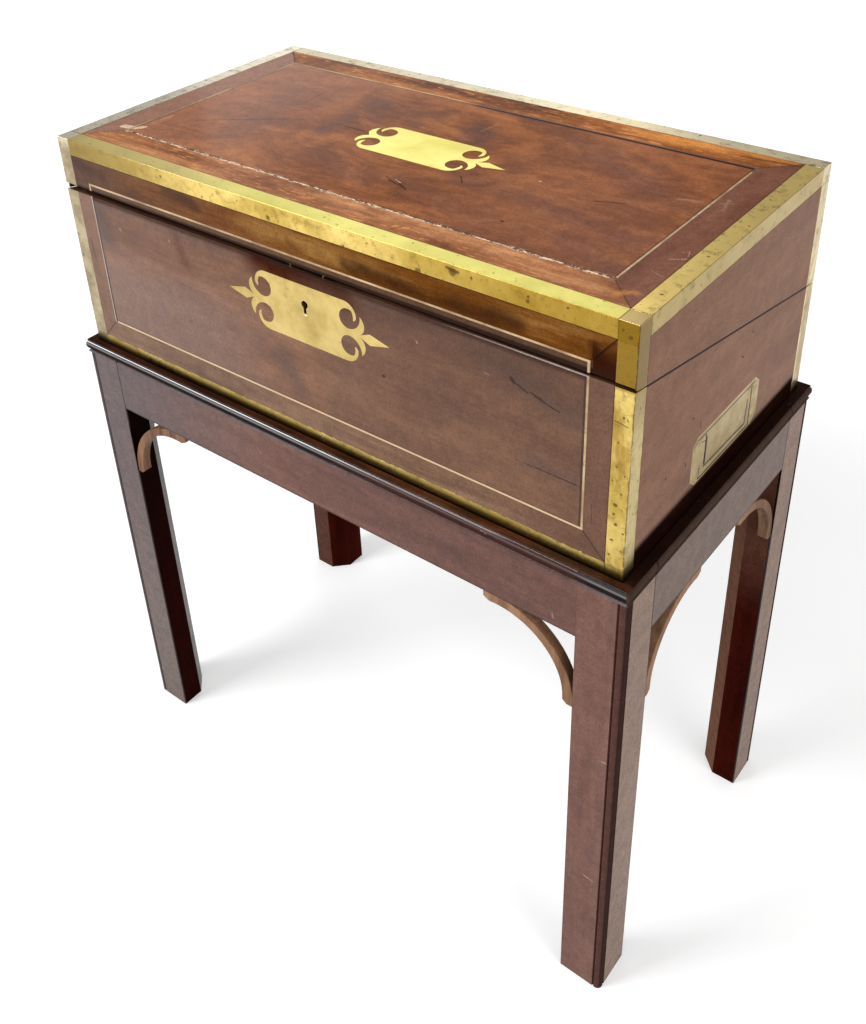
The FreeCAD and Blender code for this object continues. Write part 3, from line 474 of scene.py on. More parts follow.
def flame_top():
    """Flame veneer of the lid's panel: diagonal feathered bands with dark clouds."""
    g, place = new_material("flame_top")
    x, y, _ = g.axes(place)
    warped = g.wobble(place, 9, 0.05)
    turned = g.stretch(warped, (1, 3, 1), rotation=(0, 0, math.radians(-34)))
    feather = g.noise(turned, 13, 4, 0.6, 0.8)
    combed = g.stretch(warped, (40, 260, 40), rotation=(0, 0, math.radians(-36)))
    fine = g.noise(combed, 1, 3, 0.65)
    blend = g.plus(g.times(feather, 0.76), g.times(fine, 0.24))
    colour = g.ramp(blend, [(0.38, (0.15, 0.044, 0.012)), (0.5, (0.235, 0.074, 0.022)),
                            (0.62, (0.35, 0.125, 0.04))])
    soft = g.wobble(place, 16, 0.04, 4)
    clouds = strokes(g, soft, on_top([
        (-172, 46, -148, 10, 26, 0.75), (-148, 10, -140, -50, 26, 0.75),
        (-140, -55, -120, -62, 20, 0.55), (-84, 58, -70, 34, 22, 0.75), (-84, 22, -84, -6, 20, 0.8),
        (-56, 58, -36, 38, 18, 0.55), (14, 52, 30, 34, 21, 1), (40, 88, 86, 74, 16, 0.8),
        (86, 74, 120, 56, 15, 0.6), (108, 46, 170, 30, 15, 0.65), (170, 30, 205, 10, 18, 0.6),
        (64, 26, 84, -8, 15, 0.55), (44, -22, 84, -30, 18, 0.65), (84, -30, 150, -34, 16, 0.7),
        (150, -38, 205, -48, 20, 0.8), (160, -70, 205, -84, 20, 0.85), (-60, -46, 0, -62, 22, 0.5),
        (20, -52, 96, -66, 18, 0.4), (-46, 50, -24, 62, 16, 0.45), (96, -84, 150, -62, 12, 0.3),
    ]), soft=True)
    flames = strokes(g, soft, on_top([
        (-50, 88, 20, 84, 14, 0.6), (20, 80, 52, 58, 12, 0.6), (52, 58, 66, 24, 12, 0.65),
        (-16, 70, -10, 40, 12, 0.3), (96, 90, 146, 80, 15, 0.75), (146, 80, 190, 58, 15, 0.75),
        (190, 52, 206, 38, 10, 0.5), (84, 18, 150, 8, 14, 0.5), (-120, 60, -106, 26, 17, 0.55),
        (-190, 76, -120, 82, 14, 0.4), (-92, -22, -66, -20, 14, 0.65), (-118, -62, -84, -78, 14, 0.6),
        (120, -60, 150, -58, 10, 0.4), (40, -84, 60, -80, 10, 0.45), (-160, -84, -100, -84, 10, 0.4),
        (128, -84, 150, -80, 8, 0.35),
    ]), soft=True)
    ragged = g.span(g.noise(soft, 36, 4, 0.7), 0.3, 0.7, 0.55, 1)
    # Paler toward the left.
    paler_left = g.span(x, -0.23, -0.02, 0.55, 0)
    colour = g.layers(colour, [
        (g.times(flames, 0.8), (0.44, 0.15, 0.044)),
        (g.times(clouds, ragged), (0.1, 0.04, 0.03)),
        (paler_left, (0.37, 0.165, 0.1)),
        (g.span(x, 0.02, 0.12, 0, 0.35), (0.24, 0.1, 0.062)),
    ])
    scratch = strokes(g, g.wobble(place, 90, 0.0016), on_top([
        (27, -57, 36, -62, 0.9), (24, -58, 12, -53, 0.5), (-74, 3.5, -56, 3.5, 1.1),
        (17, -56.6, 33, -60.7, 0.9), (54, -25, 61, -33, 0.7), (117, -67, 118, -67, 1.4),
        (-140, 55, -137, 25, 0.8, 0.5), (-122, -8, -183, -50, 0.9, 0.55), (150, -10, 168, -2, 0.9, 0.7),
        (-110, -2, -160, -58, 0.7, 0.3), (36, -62, 36, -84, 0.4, 0.5),
    ]))
    colour = g.mix(g.times(scratch, 0.85), colour, (0.02, 0.006, 0.004))
    pale = strokes(g, g.wobble(place, 120, 0.003), on_top([
        (27, -56, 20, -53, 0.45), (103, -3, 104, -3, 0.8), (-208, -72, -206, -52, 0.9, 0.35),
        (-204, -74, -203, -56, 0.7, 0.25), (192, 22, 206, 26, 1.8, 0.15), (20, 69, 18, 50, 0.8, 0.2),
    ]))
    # Worn crumbs along the front string.
    beside = g.times(g.span(y, -0.0912, -0.0925), g.span(g.noise(place, 240, 3, 0.7), 0.54, 0.58))
    pale = g.most(pale, g.times(beside, 0.8))
    pale = g.most(pale, ragged_chip(g, place, (-206, -82, -212, -88, 5.5), 0.3))
    edge = g.most(g.span(g.size(x), PANEL_X - 0.001, PANEL_X, 0, 0.6),
                  g.span(g.size(y), PANEL_Y - 0.001, PANEL_Y, 0, 0.6),
                  g.times(g.span(y, 0.09, 0.0912), g.span(x, -0.03, -0.01)))
    colour = g.layers(colour, [(pale, (0.66, 0.45, 0.31)), (edge, (0.04, 0.014, 0.008))])
    polish(g, grit(g, place, colour), g.span(x, -0.2, 0.1, 0.36, 0.12), 0.14)
    bumped(g, g.noise(place, 14, 2), 0.2, 0.0006)
    return g.material


def flame_front():
    """Quieter diagonal figure of the lower front, with its scratches."""
    g, place = new_material("flame_front")
    x, _, z = g.axes(place)
    warped = g.wobble(place, 7, 0.03)
    turned = g.stretch(warped, (1, 1, 3.4), rotation=(0, math.radians(-22), 0))
    feather = g.noise(turned, 9, 4, 0.55, 0.6)
    combed = g.stretch(place, (26, 40, 300), rotation=(0, math.radians(-18), 0))
    fine = g.noise(combed, 1, 4, 0.65)
    blend = g.plus(g.times(feather, 0.7), g.times(fine, 0.3))
    colour = g.ramp(blend, [(0.38, (0.13, 0.045, 0.017)), (0.5, (0.178, 0.07, 0.028)),
                            (0.62, (0.235, 0.102, 0.047))])
    soft = g.wobble(place, 14, 0.03, 4)
    clouds = strokes(g, soft, on_front([
        (-218, 555, -205, 530, 16, 0.8), (-30, 480, -10, 456, 18, 0.6),
        (-205, 556, -70, 558, 10, 0.5), (150, 548, 212, 530, 22, 0.55), (180, 482, 214, 478, 12, 0.55),
        (60, 556, 205, 552, 11, 0.4), (-212, 452, -170, 452, 10, 0.4),
    ]), soft=True)
    colour = g.mix(clouds, colour, (0.068, 0.034, 0.028))
    ember = strokes(g, soft, on_front([
        (-44, 558, 40, 556, 22, 1), (-128, 548, -118, 530, 12, 0.3),
    ]), soft=True)
    # Painted sheen: paler and greyer low on the left.
    left = g.times(g.span(x, 0.02, -0.12), g.span(z, 0.535, 0.49))
    colour = g.layers(colour, [
        (ember, (0.05, 0.007, 0.001)),
        (g.times(left, 0.75), (0.16, 0.092, 0.07)),
        (g.span(x, -0.03, 0.03, 0, 0.45), (0.105, 0.062, 0.045)),
        # Painted shadow of the lid: darker toward the top.
        (g.span(z, 0.51, 0.556, 0, 0.42), (0.05, 0.014, 0.005)),
    ])
    dark = strokes(g, g.wobble(place, 70, 0.003), on_front([
        (-213, 560, -150, 559, 1.2), (168, 537, 180, 532, 0.9), (182, 533, 202, 527, 0.8),
        (172, 480, 215, 479, 0.7), (168, 538, 170, 536, 1.8), (67, 502, 68, 502, 1.5),
        (185, 531, 192, 529, 0.6), (-214, 548, -206, 536, 0.7, 0.5), (-216, 535, -210, 533, 0.6, 0.4),
        (148, 452, 158, 451, 0.5, 0.4), (133, 508, 158, 505.5, 0.6, 0.5),
    ]))
    colour = g.mix(g.times(dark, 0.85), colour, (0.018, 0.006, 0.004))
    pale = strokes(g, g.wobble(place, 70, 0.003), on_front([
        (96, 539, 97, 538, 0.9, 0.4), (-192, 539, -191, 538, 1.2, 0.35),
        (-135, 545, -134, 544, 0.9, 0.4), (148, 535, 152, 535, 0.6, 0.3),
    ]))
    # Dark joints at the banding and below, and painted shadow under the lid along the top.
    edge = g.most(g.span(x, -0.2175, -0.2185, 0, 0.9), g.span(x, 0.2172, 0.218, 0, 0.7),
                  g.span(z, 0.4498, 0.449, 0, 0.5), g.span(z, 0.5535, 0.5575, 0, 0.55))
    # Painted highlight along the top arris toward the right.
    arris = g.times(g.span(z, 0.5582, 0.5585), g.span(x, 0.1, 0.2, 0, 0.6))
    colour = g.layers(colour, [
        (pale, (0.5, 0.32, 0.22)),
        (edge, (0.022, 0.01, 0.008)),
        (arris, (0.6, 0.52, 0.47)),
    ])
    colour = grit(g, place, colour)
    shine = g.span(x, -0.18, 0.12, 0.62, 0.42)
    shine = g.mix(g.most(ember, g.span(z, 0.5545, 0.557, 0, 0.7)), shine, 0.02)
    polish(g, colour, shine, 0.12)
    bumped(g, g.noise(place, 12, 2), 0.15, 0.0006)
    return g.material


def lid_front_wood():
    """Rail and panel of the lid's front: browner, with long dark streaks and little haze."""
    g, place = new_material("lid_front_wood")
    x, _, z = g.axes(place)
    blend, pore = grain(g, g.wobble(place, 10, 0.006), "X", 9, 1.4, 9)
    colour = g.ramp(blend, [(0.4, (0.07, 0.017, 0.001)), (0.5, (0.15, 0.052, 0.008)),
                            (0.6, (0.27, 0.13, 0.034))])
    soft = g.wobble(place, 16, 0.024, 4)
    colour = g.mix(g.span(x, -0.14, -0.23, 0, 0.85), colour, (0.07, 0.028, 0.016))
    dark = strokes(g, soft, on_front([
        (40, 577, 90, 576, 10, 0.85), (90, 576, 170, 575, 11, 0.8), (-132, 586, -100, 582, 8, 0.75),
        (-240, 585, -200, 578, 9, 0.7), (-10, 580, 20, 578, 5, 0.5), (226, 578, 232, 566, 9, 0.9),
    ]), soft=True)
    lip = g.span(z, 0.5686, 0.5676)
    sides = g.times(g.span(x, 0.2218, 0.2222), g.span(z, 0.59, 0.57))
    colour = g.layers(colour, [
        (dark, (0.034, 0.01, 0.003)),
        (g.times(lip, 0.8), (0.085, 0.05, 0.034)),
        # Painted shadow of the gap under the lid.
        (g.span(z, 0.5652, 0.5636, 0, 0.9), (0.012, 0.01, 0.014)),
        (g.times(sides, 0.9), (0.026, 0.003, 0.001)),
    ])
    mitre = strokes(g, place, on_front([
        (-237, 589, -220.7, 569.7, 0.45), (237, 589, 220.7, 569.7, 0.6),
    ]))
    # Dark joint under the brass edging, and painted shadow of the gap at the foot.
    edge = g.most(g.span(z, EDGING_FOOT - 0.0006, EDGING_FOOT - 0.0001, 0, 0.6),
                  g.span(z, 0.5656, 0.5642, 0, 0.6))
    colour = g.layers(colour, [(mitre, (0.03, 0.012, 0.008)), (edge, (0.03, 0.012, 0.006))])
    colour = grit(g, place, colour)
    shine = g.mix(g.span(z, 0.567, 0.565, 0, 0.8), g.span(x, -0.18, 0.05, 0.3, 0.03), 0.02)
    polish(g, colour, shine, 0.14)
    bumped(g, g.times(pore, -1), 0.15, 0.0002)
    return g.material


def base_banding_wood():
    """Banding of the lower front with its mitres."""
    g, place = new_material("base_banding_wood")
    x, _, z = g.axes(place)
    along, pore = grain(g, g.wobble(place, 10, 0.006), "X", 7, 1.2, 9)
    upright, _ = grain(g, g.wobble(place, 10, 0.006), "Z", 7.6, 1, 7)
    low = g.ramp(along, [(0.38, (0.12, 0.055, 0.03)), (0.5, (0.215, 0.118, 0.068)),
                         (0.62, (0.32, 0.19, 0.115))])
    side = g.ramp(upright,
                  three_stops((0.135, 0.064, 0.038), (0.19, 0.098, 0.06), (0.25, 0.138, 0.09)))
    beside = g.past(g.size(x), 0.2207)
    away = g.less(STRIP_X, g.size(x))
    diagonal = g.less(g.less(z, STRIP_FOOT), g.times(away, BANDING_SLOPE))
    colour = g.mix(g.times(beside, g.past(diagonal, 0)), low, side)
    darker = g.noise(place, 22, 4, 0.6)
    mitre = g.times(g.line(diagonal), beside)
    colour = g.layers(colour, [
        (g.span(darker, 0.55, 0.72, 0, 0.5), (0.08, 0.036, 0.024)),
        (g.span(x, 0.12, 0.225, 0, 0.75), (0.12, 0.054, 0.032)),
        (mitre, (0.03, 0.014, 0.01)),
    ])
    crack = strokes(g, g.wobble(place, 90, 0.003), on_front([
        (-232, 520, -231, 500, 0.5), (226, 470, 227, 455, 0.5, 0.6), (-225, 470, -224, 458, 0.5, 0.6),
    ]))
    edge = g.most(g.span(away, 0.0006, 0, 0, 0.6), g.span(z, STRIP_FOOT + 0.0008, STRIP_FOOT, 0, 0.5))
    colour = g.layers(colour, [(crack, (0.04, 0.018, 0.012)), (edge, (0.03, 0.014, 0.009))])
    polish(g, grit(g, place, colour), g.span(x, -0.1, 0.1, 0.45, 0.3), 0.14)
    bumped(g, g.times(pore, -1), 0.15, 0.0002)
    return g.material


def top_banding_wood():
    """Cross-banding of the lid's top: mottled and orange along the front and back, plain at the ends."""
    g, place = new_material("top_banding_wood")
    x, y, _ = g.axes(place)
    along, pore = grain(g, g.wobble(place, 16, 0.01), "X", 8, 2, 8)
    upright, _ = grain(g, place, "Y", 8.6, 1, 8)
    front = g.ramp(along, [(0.38, (0.15, 0.046, 0.018)), (0.5, (0.35, 0.135, 0.056)),
                           (0.63, (0.68, 0.34, 0.15))])
    back = g.ramp(along, [(0.4, (0.11, 0.028, 0.007)), (0.5, (0.36, 0.12, 0.028)),
                          (0.6, (0.78, 0.32, 0.07))])
    ends = g.ramp(upright,
                  three_stops((0.11, 0.044, 0.028), (0.16, 0.062, 0.038), (0.21, 0.088, 0.056)))
    rows = g.mix(g.span(y, -0.01, 0.01), front, back)
    flakes = g.noise(g.stretch(place, (70, 420, 70)), 1, 4, 0.7)
    away_x = g.less(STRIP_X, g.size(x))
    away_y = g.less(STRIP_Y, g.size(y))
    diagonal = g.less(away_x, away_y)
    diagonal_rows = g.past(diagonal, 0)
    ends = g.mix(g.span(x, -0.1, 0.1, 0.62, 0), ends, (0.36, 0.19, 0.13))
    rows = g.layers(rows, [
        (g.span(flakes, 0.54, 0.66, 0, 0.85), (0.68, 0.29, 0.095)),
        (g.span(g.noise(place, 26, 4), 0.52, 0.7, 0, 0.55), (0.12, 0.034, 0.012)),
        (g.span(x, 0.16, 0.235, 0, 0.45), (0.19, 0.066, 0.03)),
    ])
    colour = g.mix(diagonal_rows, ends, rows)
    mitre = g.line(diagonal, 0.0002, 0.0008, 0.75)
    colour = g.mix(mitre, colour, (0.05, 0.018, 0.01))
    blots = strokes(g, g.wobble(place, 60, 0.008), on_top([
        (66, -111, 73, -108, 3, 0.8), (222, -108, 231, -102, 5, 0.35),
        (-14, -110, -6, -107, 2.5, 0.5),
    ]), soft=True)
    colour = g.mix(blots, colour, (0.76, 0.33, 0.07))
    dark = strokes(g, g.wobble(place, 90, 0.003), on_top([
        (-12, 118, 40, 117, 1.3), (66, -114, 70, -108, 0.7, 0.8), (-236, 116, -214, 95, 0.9, 0.8),
        (6, 110, 60, 108, 0.7, 0.5), (196, 108, 236, 112, 1.6, 0.5), (-150, -104, -120, -104, 0.6, 0.4),
    ]))
    colour = g.mix(dark, colour, (0.045, 0.016, 0.008))
    pale = strokes(g, g.wobble(place, 200, 0.003), on_top([
        (232, -40, 234, -46, 0.7, 0.6), (235, -50, 227, -55, 0.9, 0.6), (234, -39, 228, -44, 0.5, 0.4),
        (220, 38, 223, 22, 1.6, 0.22), (216, 28, 224, 34, 1.2, 0.22), (226, -74, 233, -76, 0.6, 0.25),
    ]))
    pale = g.times(pale, g.span(g.noise(place, 620, 3, 0.7), 0.44, 0.6, 0.1, 1))
    # Worn crumbs along the front string.
    beside = g.times(g.span(y, -0.0965, -0.0952), g.span(y, -0.05, -0.06))
    beside = g.times(beside, diagonal_rows, g.span(g.noise(place, 240, 3, 0.7), 0.55, 0.59))
    pale = g.most(pale, g.times(beside, 0.8))
    pale = g.most(pale, ragged_chip(g, place, (-208, -86, -221, -89, 7), 0.27))
    edge = g.most(g.span(away_x, 0.0007, 0.0001, 0, 0.6), g.span(away_y, 0.0007, 0.0001, 0, 0.6))
    colour = g.layers(colour, [(pale, (0.68, 0.47, 0.33)), (edge, (0.05, 0.02, 0.01))])
    polish(g, grit(g, place, colour), g.span(x, -0.2, 0.1, 0.32, 0.12), 0.16)
    bumped(g, g.plus(g.times(pore, -0.2), g.times(flakes, 0.3)), 0.25, 0.0004)
    return g.material


def end_wood():
    """Ends and other outer boards of the box: plain mahogany with a few pits."""
    g, place = new_material("end_wood")
    _, y, z = g.axes(place)
    blend, pore = grain(g, place, "Y", 5.2, 1, 8)
    colour = g.ramp(blend, three_stops((0.2, 0.092, 0.052), (0.236, 0.113, 0.066),
                                       (0.276, 0.138, 0.082)))
    soft = g.wobble(place, 12, 0.03, 4)
    dark = strokes(g, soft, on_right([
        (-60, 452, 20, 436, 16, 0.25), (60, 480, 118, 470, 22, 0.25),
    ]), soft=True)
    # The same all along the seam, which falls toward the back.
    drop = g.plus(z, g.times(g.plus(y, BOX_Y), SEAM_SLOPE))
    seam = g.line(g.less(drop, SEAM_FRONT), 0.0006, 0.0011, 0.92)
    colour = g.layers(colour, [
        (dark, (0.075, 0.028, 0.016)),
        (seam, (0.012, 0.005, 0.004)),
        # Painted shade: near black along the bottom.
        (g.span(z, 0.442, 0.434, 0, 0.98), (0.005, 0.0006, 0.0006)),
    ])
    pits = strokes(g, g.wobble(place, 90, 0.002), on_right([
        (-52, 497, -51, 496, 1.2), (-40, 487, -39, 482, 0.9), (-58, 466, -56, 462, 0.8),
        (28, 520, 29, 519, 0.9), (-84, 470, -83, 469, 0.9), (14, 508, 18, 505, 0.8),
        (-95, 436, -70, 434, 0.6, 0.5),
    ]))
    colour = g.mix(g.times(pits, 0.8), colour, (0.035, 0.012, 0.007))
    colour = g.mix(g.times(pore, 0.25), colour, (0.08, 0.032, 0.018))
    polish(g, grit(g, place, colour), g.span(z, 0.44, 0.433, 0.26, 0.03), 0.12)
    bumped(g, g.noise(place, 12, 2), 0.15, 0.0006)
    return g.material


# ---------------------------------------------------------------- brass, string, steel, leather, glass
def brass(name, pale, deep, rough, tarnish, seed, painted=None):
    """Old lacquered brass: worn bright patches, tarnish clouds and small dark pits."""
    g, own = new_material(name)
    place = g.stretch(own, (1, 1, 1), location=(seed, seed, seed))
    cloud = g.noise(place, 34, 5, 0.66, 0.3)
    speck = g.noise(place, 300, 3, 0.6)
    slow = g.noise(place, 8, 3, 0.5)
    blend = g.plus(g.times(cloud, 0.6), g.times(slow, 0.4))
    middle = [0.5 * (a + b) for a, b in zip(pale, deep)]
    colour = g.ramp(blend, [(0.4, deep), (0.5, middle), (0.6, pale)])
    if painted:
        colour = painted(g, own, colour)
    pits = g.span(speck, 0.62, 0.74, 0, tarnish)
    colour = g.mix(pits, colour, (0.12, 0.075, 0.018))
    g.set("Base Color", colour)
    g.set("Metallic", 1)
    g.set("Roughness", g.span(blend, 0.35, 0.65, rough + 0.1, rough - 0.05))
    bumped(g, g.plus(cloud, g.times(speck, 0.15)), 0.25, 0.0004)
    return g.material


def binding_colour(spot_rows, line_rows):
    """Tarnish of the binding, pale at the back and left, with painted highlight on the top faces along
    the front and right, and painted shade on the lid's front face and at the foot.
    """
    def painted(g, place, colour):
        x, y, z = g.axes(place)
        top = g.past(z, BOX_TOP - 0.0004, 0.0002)
        front = g.times(g.before(y, -STRIP_Y, 0.0005), top)
        bright = g.mix(g.span(x, -0.15, -0.03), (0.95, 0.76, 0.27), (0.76, 0.68, 0.17))
        on_right_strip = g.past(x, STRIP_X, 0.0005)
        right = g.times(on_right_strip, g.past(y, -STRIP_Y, 0.0005))
        right_face = g.past(x, BOX_X - 0.0003)
        worn = g.span(z, 0.56, 0.51, 0, 0.8)
        pale_side = g.mix(worn, (0.23, 0.165, 0.062), (0.68, 0.56, 0.28))
        rail = g.times(g.before(y, 0.0003 - BOX_Y), g.span(z, EDGING_FOOT - 0.001, EDGING_FOOT))
        corner = g.times(on_right_strip, g.span(y, -0.117, -0.118))
        shaded = g.times(corner, g.span(z, 0.556, 0.56, 0, 0.92))
        back = g.past(y, STRIP_Y, 0.0005)
        pale_back = g.mix(g.span(x, -0.05, 0.12), (0.72, 0.64, 0.45), (0.97, 0.84, 0.54))
        left = g.before(x, -STRIP_X, 0.0005)
        left_post = g.times(left, g.span(z, 0.6, 0.59))
        patch = g.span(g.noise(place, 45, 4, 0.65), 0.4, 0.6, 0.55, 0.9)
        smear = g.noise(g.stretch(place, (60, 60, 16)), 1, 4, 0.65)
        post = g.times(g.span(x, 0.2355, 0.236), g.span(z, 0.557, 0.556))
        # Painted shade at the foot of the strips, with a painted reflection of the dark ledge.
        foot = g.times(g.span(z, 0.4285, 0.419, 0.35, 0.97), g.before(z, STRIP_FOOT, 0.0002))
        grime = g.span(g.noise(place, 130, 5, 0.7), 0.5, 0.68, 0, 0.55)
        ragged = g.wobble(place, 140, 0.003)
        colour = g.layers(colour, [
            # Painted highlight: the top faces of the front and right strips painted bright.
            (g.times(front, g.span(x, -0.245, -0.22, 0.6, 1)), bright),
            (g.times(right, 0.85), (0.96, 0.7, 0.21)),
            (g.times(right_face, 0.75), pale_side),
            # Painted shade on the front face of the lid's edging.
            (g.times(rail, g.span(x, -0.23, -0.06, 0.85, 0)), (0.18, 0.12, 0.026)),
            (g.times(rail, g.span(x, -0.02, 0.25, 0, 0.85)), (0.26, 0.15, 0.01)),
            (shaded, (0.19, 0.105, 0.008)),
            # Painted highlight on the top of the corner.
            (g.times(corner, top), (0.56, 0.4, 0.15)),
            (g.times(back, 0.5), (0.8, 0.7, 0.47)),
            (g.times(back, top, 0.9), pale_back),
            (g.times(left, 0.75), (0.56, 0.5, 0.36)),
            (g.times(left, top, 0.9), (0.97, 0.88, 0.7)),
            (g.times(left_post, patch), (0.21, 0.16, 0.096)),
            (g.times(post, g.span(smear, 0.46, 0.62, 0, 0.75)), (0.3, 0.17, 0.03)),
            (foot, (0.05, 0.032, 0.004)),
            (g.times(grime, g.less(1, front)), (0.15, 0.095, 0.018)),
        ])
        colour = g.mix(g.times(strokes(g, ragged, spot_rows), 0.8), colour, (0.09, 0.045, 0.01))
        return g.mix(g.times(strokes(g, ragged, line_rows), 0.85), colour, (0.07, 0.035, 0.01))
    return painted


LID_SPOTS = on_front([
    (-26, 592, 2.2), (40, 590, 1.4), (100, 590, 3.2), (103, 588, 1.6), (126, 597, 3.8), (179, 594, 1.8),
    (179, 597, 1.4), (245, 593, 1.8), (240, 596, 1.3), (-132, 596, 1.5), (-90, 591, 1.3),
    (60, 597, 1.1), (140, 597, 1.3), (205, 598, 1.2),
]) + on_top([
    (244, -40, 1.3), (246, 10, 1), (241, 52, 1.2), (243, -95, 1.4), (248, 84, 1), (-175, 124, 1.6),
    (155, 127, 1.6), (-60, 124, 1), (20, -125, 1), (90, -122, 1.1), (152, -126, 1),
    (-247, 20, 1.3), (-244, -60, 1.1), (-246, 80, 1.1),
]) + on_right([
    (-60, 594, 1.1), (22, 596, 1.2), (98, 592, 1.1),
])
LID_LINES = on_front([
    (250, 556, 250, 602, 0.9, 0.85), (-250, 556, -250, 602, 0.7, 0.7), (237, 589, 250, 589, 0.4, 0.6),
    (122, 599, 130, 598, 1.6, 0.9),
]) + on_top([
    (237, -118, 250, -118, 0.4), (237, 118, 250, 118, 0.6), (-237, 118, -237, 131, 0.5),
    (-237, -118, -250, -118, 0.5),
]) + on_right([
    (112, 590, 118, 600, 0.5), (-118, 589, 131, 589, 0.5, 0.6), (-118.3, 557, -118.3, 589, 0.5, 0.7),
])
BASE_SPOTS = on_front([
    (-247, 501, 1.8), (-246, 512, 1.2), (-245, 545, 1.1), (-247, 478, 1), (242, 477, 1.9),
    (241, 470, 1.3), (243, 463, 1.6), (241, 450, 1.5), (245, 486, 1.1), (244, 540, 1.2),
    (241, 522, 1), (247, 500, 1.2), (239, 494, 1.2), (241, 505, 1.2), (248, 458, 1.3),
    (248, 444, 1.3), (240, 438, 1.4),
]) + on_right([
    (-124, 545, 1.1), (-121, 492, 1), (-124, 470, 0.9),
])
BASE_LINES = on_front([
    (236.6, 430, 236.6, 556, 0.5, 0.9), (246.4, 540, 247.4, 538, 0.5), (250, 425, 250, 556, 0.8, 0.75),
    (238, 536, 247, 535, 0.5), (-250, 425, -250, 556, 0.7, 0.7), (-250, 520, -246, 519, 0.8),
    (-236.6, 430, -236.6, 556, 0.5, 0.8), (-237, 430, 237, 430, 0.5, 0.8),
]) + on_right([
    (-118.3, 430, -118.3, 557, 0.5, 0.7),
])


def handle_colour(g, place, colour):
    """Dark joints round the plate and the folded bail, alike on both ends."""
    x, y, z = g.axes(place)
    folded = g.add("ShaderNodeCombineXYZ", {0: g.size(x), 1: y, 2: z}).outputs[0]
    lines = strokes(g, g.wobble(folded, 90, 0.001), on_right([
        (-27.3, 467.4, -27.6, 444.7, 1.3), (-27.6, 444.7, 33.7, 443.1, 1.5),
        (33.7, 443.1, 34.6, 461.9, 1.5), (-33.9, 467.4, -26.8, 465.1, 0.7),
        (-34.6, 447.1, -35.6, 439.5, 1.2), (-40.6, 472.5, 44.9, 472.5, 0.9),
        (-48.2, 467.2, -40.6, 472.5, 0.8), (-48.2, 442.5, -48.2, 467.2, 0.8),
        (4, 452, 10, 457, 1, 0.4), (42, 470, 44, 462, 0.7, 0.6),
    ]))
    return g.mix(g.times(lines, 0.92), colour, (0.03, 0.014, 0.005))


def keyhole_rim(g, place, colour):
    """Rubbed edge round the keyhole of the escutcheon."""
    rim = strokes(g, place, on_front([(0, 534, 0, 534.4, 4), (0, 532, 0, 527, 2.3)]))
    return g.mix(g.times(rim, 0.6), colour, (0.9, 0.82, 0.62))


def string_colour(g, place, colour):
    """Pale worn string, dark where it is lost."""
    x, y, z = g.axes(place)
    lid_top = g.span(z, 0.6, 0.6005)
    lost_back = g.times(g.span(y, 0.085, 0.088), g.span(x, -0.03, -0.005))
    lost_left = g.times(g.span(x, -0.2135, -0.2137), g.span(y, -0.075, -0.055, 0, 0.85))
    lost_top = g.times(g.most(lost_back, lost_left), lid_top)
    left_front = g.times(g.span(x, -0.2175, -0.2188), g.span(z, 0.56, 0.559))
    lost_front = g.times(left_front, g.span(x, -0.2202, -0.2199))
    front_top = g.times(lid_top, g.span(y, -0.09, -0.092))
    chips = g.span(g.noise(place, 260, 3, 0.7), 0.46, 0.54)
    broken = g.span(g.noise(place, 130, 4, 0.7), 0.56, 0.64, 0, 0.5)
    base_low = g.times(g.span(z, 0.449, 0.4485), g.span(z, 0.44, 0.442))
    return g.layers(colour, [
        (front_top, g.mix(chips, (0.06, 0.022, 0.012), (0.84, 0.62, 0.38))),
        (broken, (0.16, 0.09, 0.045)),
        (g.times(base_low, 0.8), (0.64, 0.46, 0.26)),
        (g.times(left_front, 0.85), (0.6, 0.44, 0.39)),
        (lost_front, (0.014, 0.006, 0.005)),
        (lost_top, (0.09, 0.034, 0.016)),
    ])


def ivory_string():
    """Pale inlaid string: worn, in places lost."""
    g, place = new_material("pale_string")
    tone = g.noise(g.stretch(place, (40, 40, 40)), 1, 4)
    colour = g.ramp(tone, [(0.38, (0.25, 0.15, 0.065)), (0.62, (0.56, 0.39, 0.21))])
    colour = string_colour(g, place, colour)
    g.set("Base Color", colour)
    g.set("Roughness", g.span(tone, 0.3, 0.7, 0.5, 0.38))
    g.set("Specular IOR Level", 0.5)
    return g.material


def steel():
    """Worn steel of the lock."""
    g, place = new_material("lock_steel_old")
    patch = g.noise(place, 60, 4)
    g.set("Base Color", g.ramp(patch, [(0.4, (0.16, 0.14, 0.12)), (0.6, (0.4, 0.39, 0.38))]))
    g.set("Metallic", 1)
    g.set("Roughness", g.span(patch, 0.4, 0.6, 0.5, 0.32))
    return g.material


def leather():
    """Green leather of the writing flaps, with its fine cells."""
    g, place = new_material("green_leather")
    cell = g.add("ShaderNodeTexVoronoi", {"Vector": place, "Scale": 900}).outputs["Distance"]
    wear = g.noise(place, 11, 4)
    colour = g.ramp(wear, [(0.35, (0.02, 0.045, 0.022)), (0.62, (0.045, 0.085, 0.045))])
    g.set("Base Color", colour)
    g.set("Roughness", g.span(wear, 0.3, 0.7, 0.62, 0.45))
    bumped(g, cell, 0.4, 0.0002)
    return g.material


def glass():
    """Clear glass of the ink bottles."""
    g, place = new_material("clear_bottle_glass")
    tint = g.noise(place, 30, 2)
    g.set("Base Color", g.ramp(tint, [(0.3, (0.9, 0.96, 0.93)), (0.7, (0.96, 0.99, 0.97))]))
    g.set("Roughness", 0.02)
    g.set("IOR", 1.5)
    g.set("Transmission Weight", 1)
    return g.material


# ---------------------------------------------------------------- dressing the CAD pieces
WELD_GAP = 0.000002
FLAT_ANGLE = math.radians(0.4)
SHARP_ANGLE = math.radians(28)
SHARP_ANGLE_BEVELLED = math.radians(46)


def modify(piece, name, kind, **settings):
    modifier = piece.modifiers.new(name, kind)
    for key, value in settings.items():
        setattr(modifier, key, value)


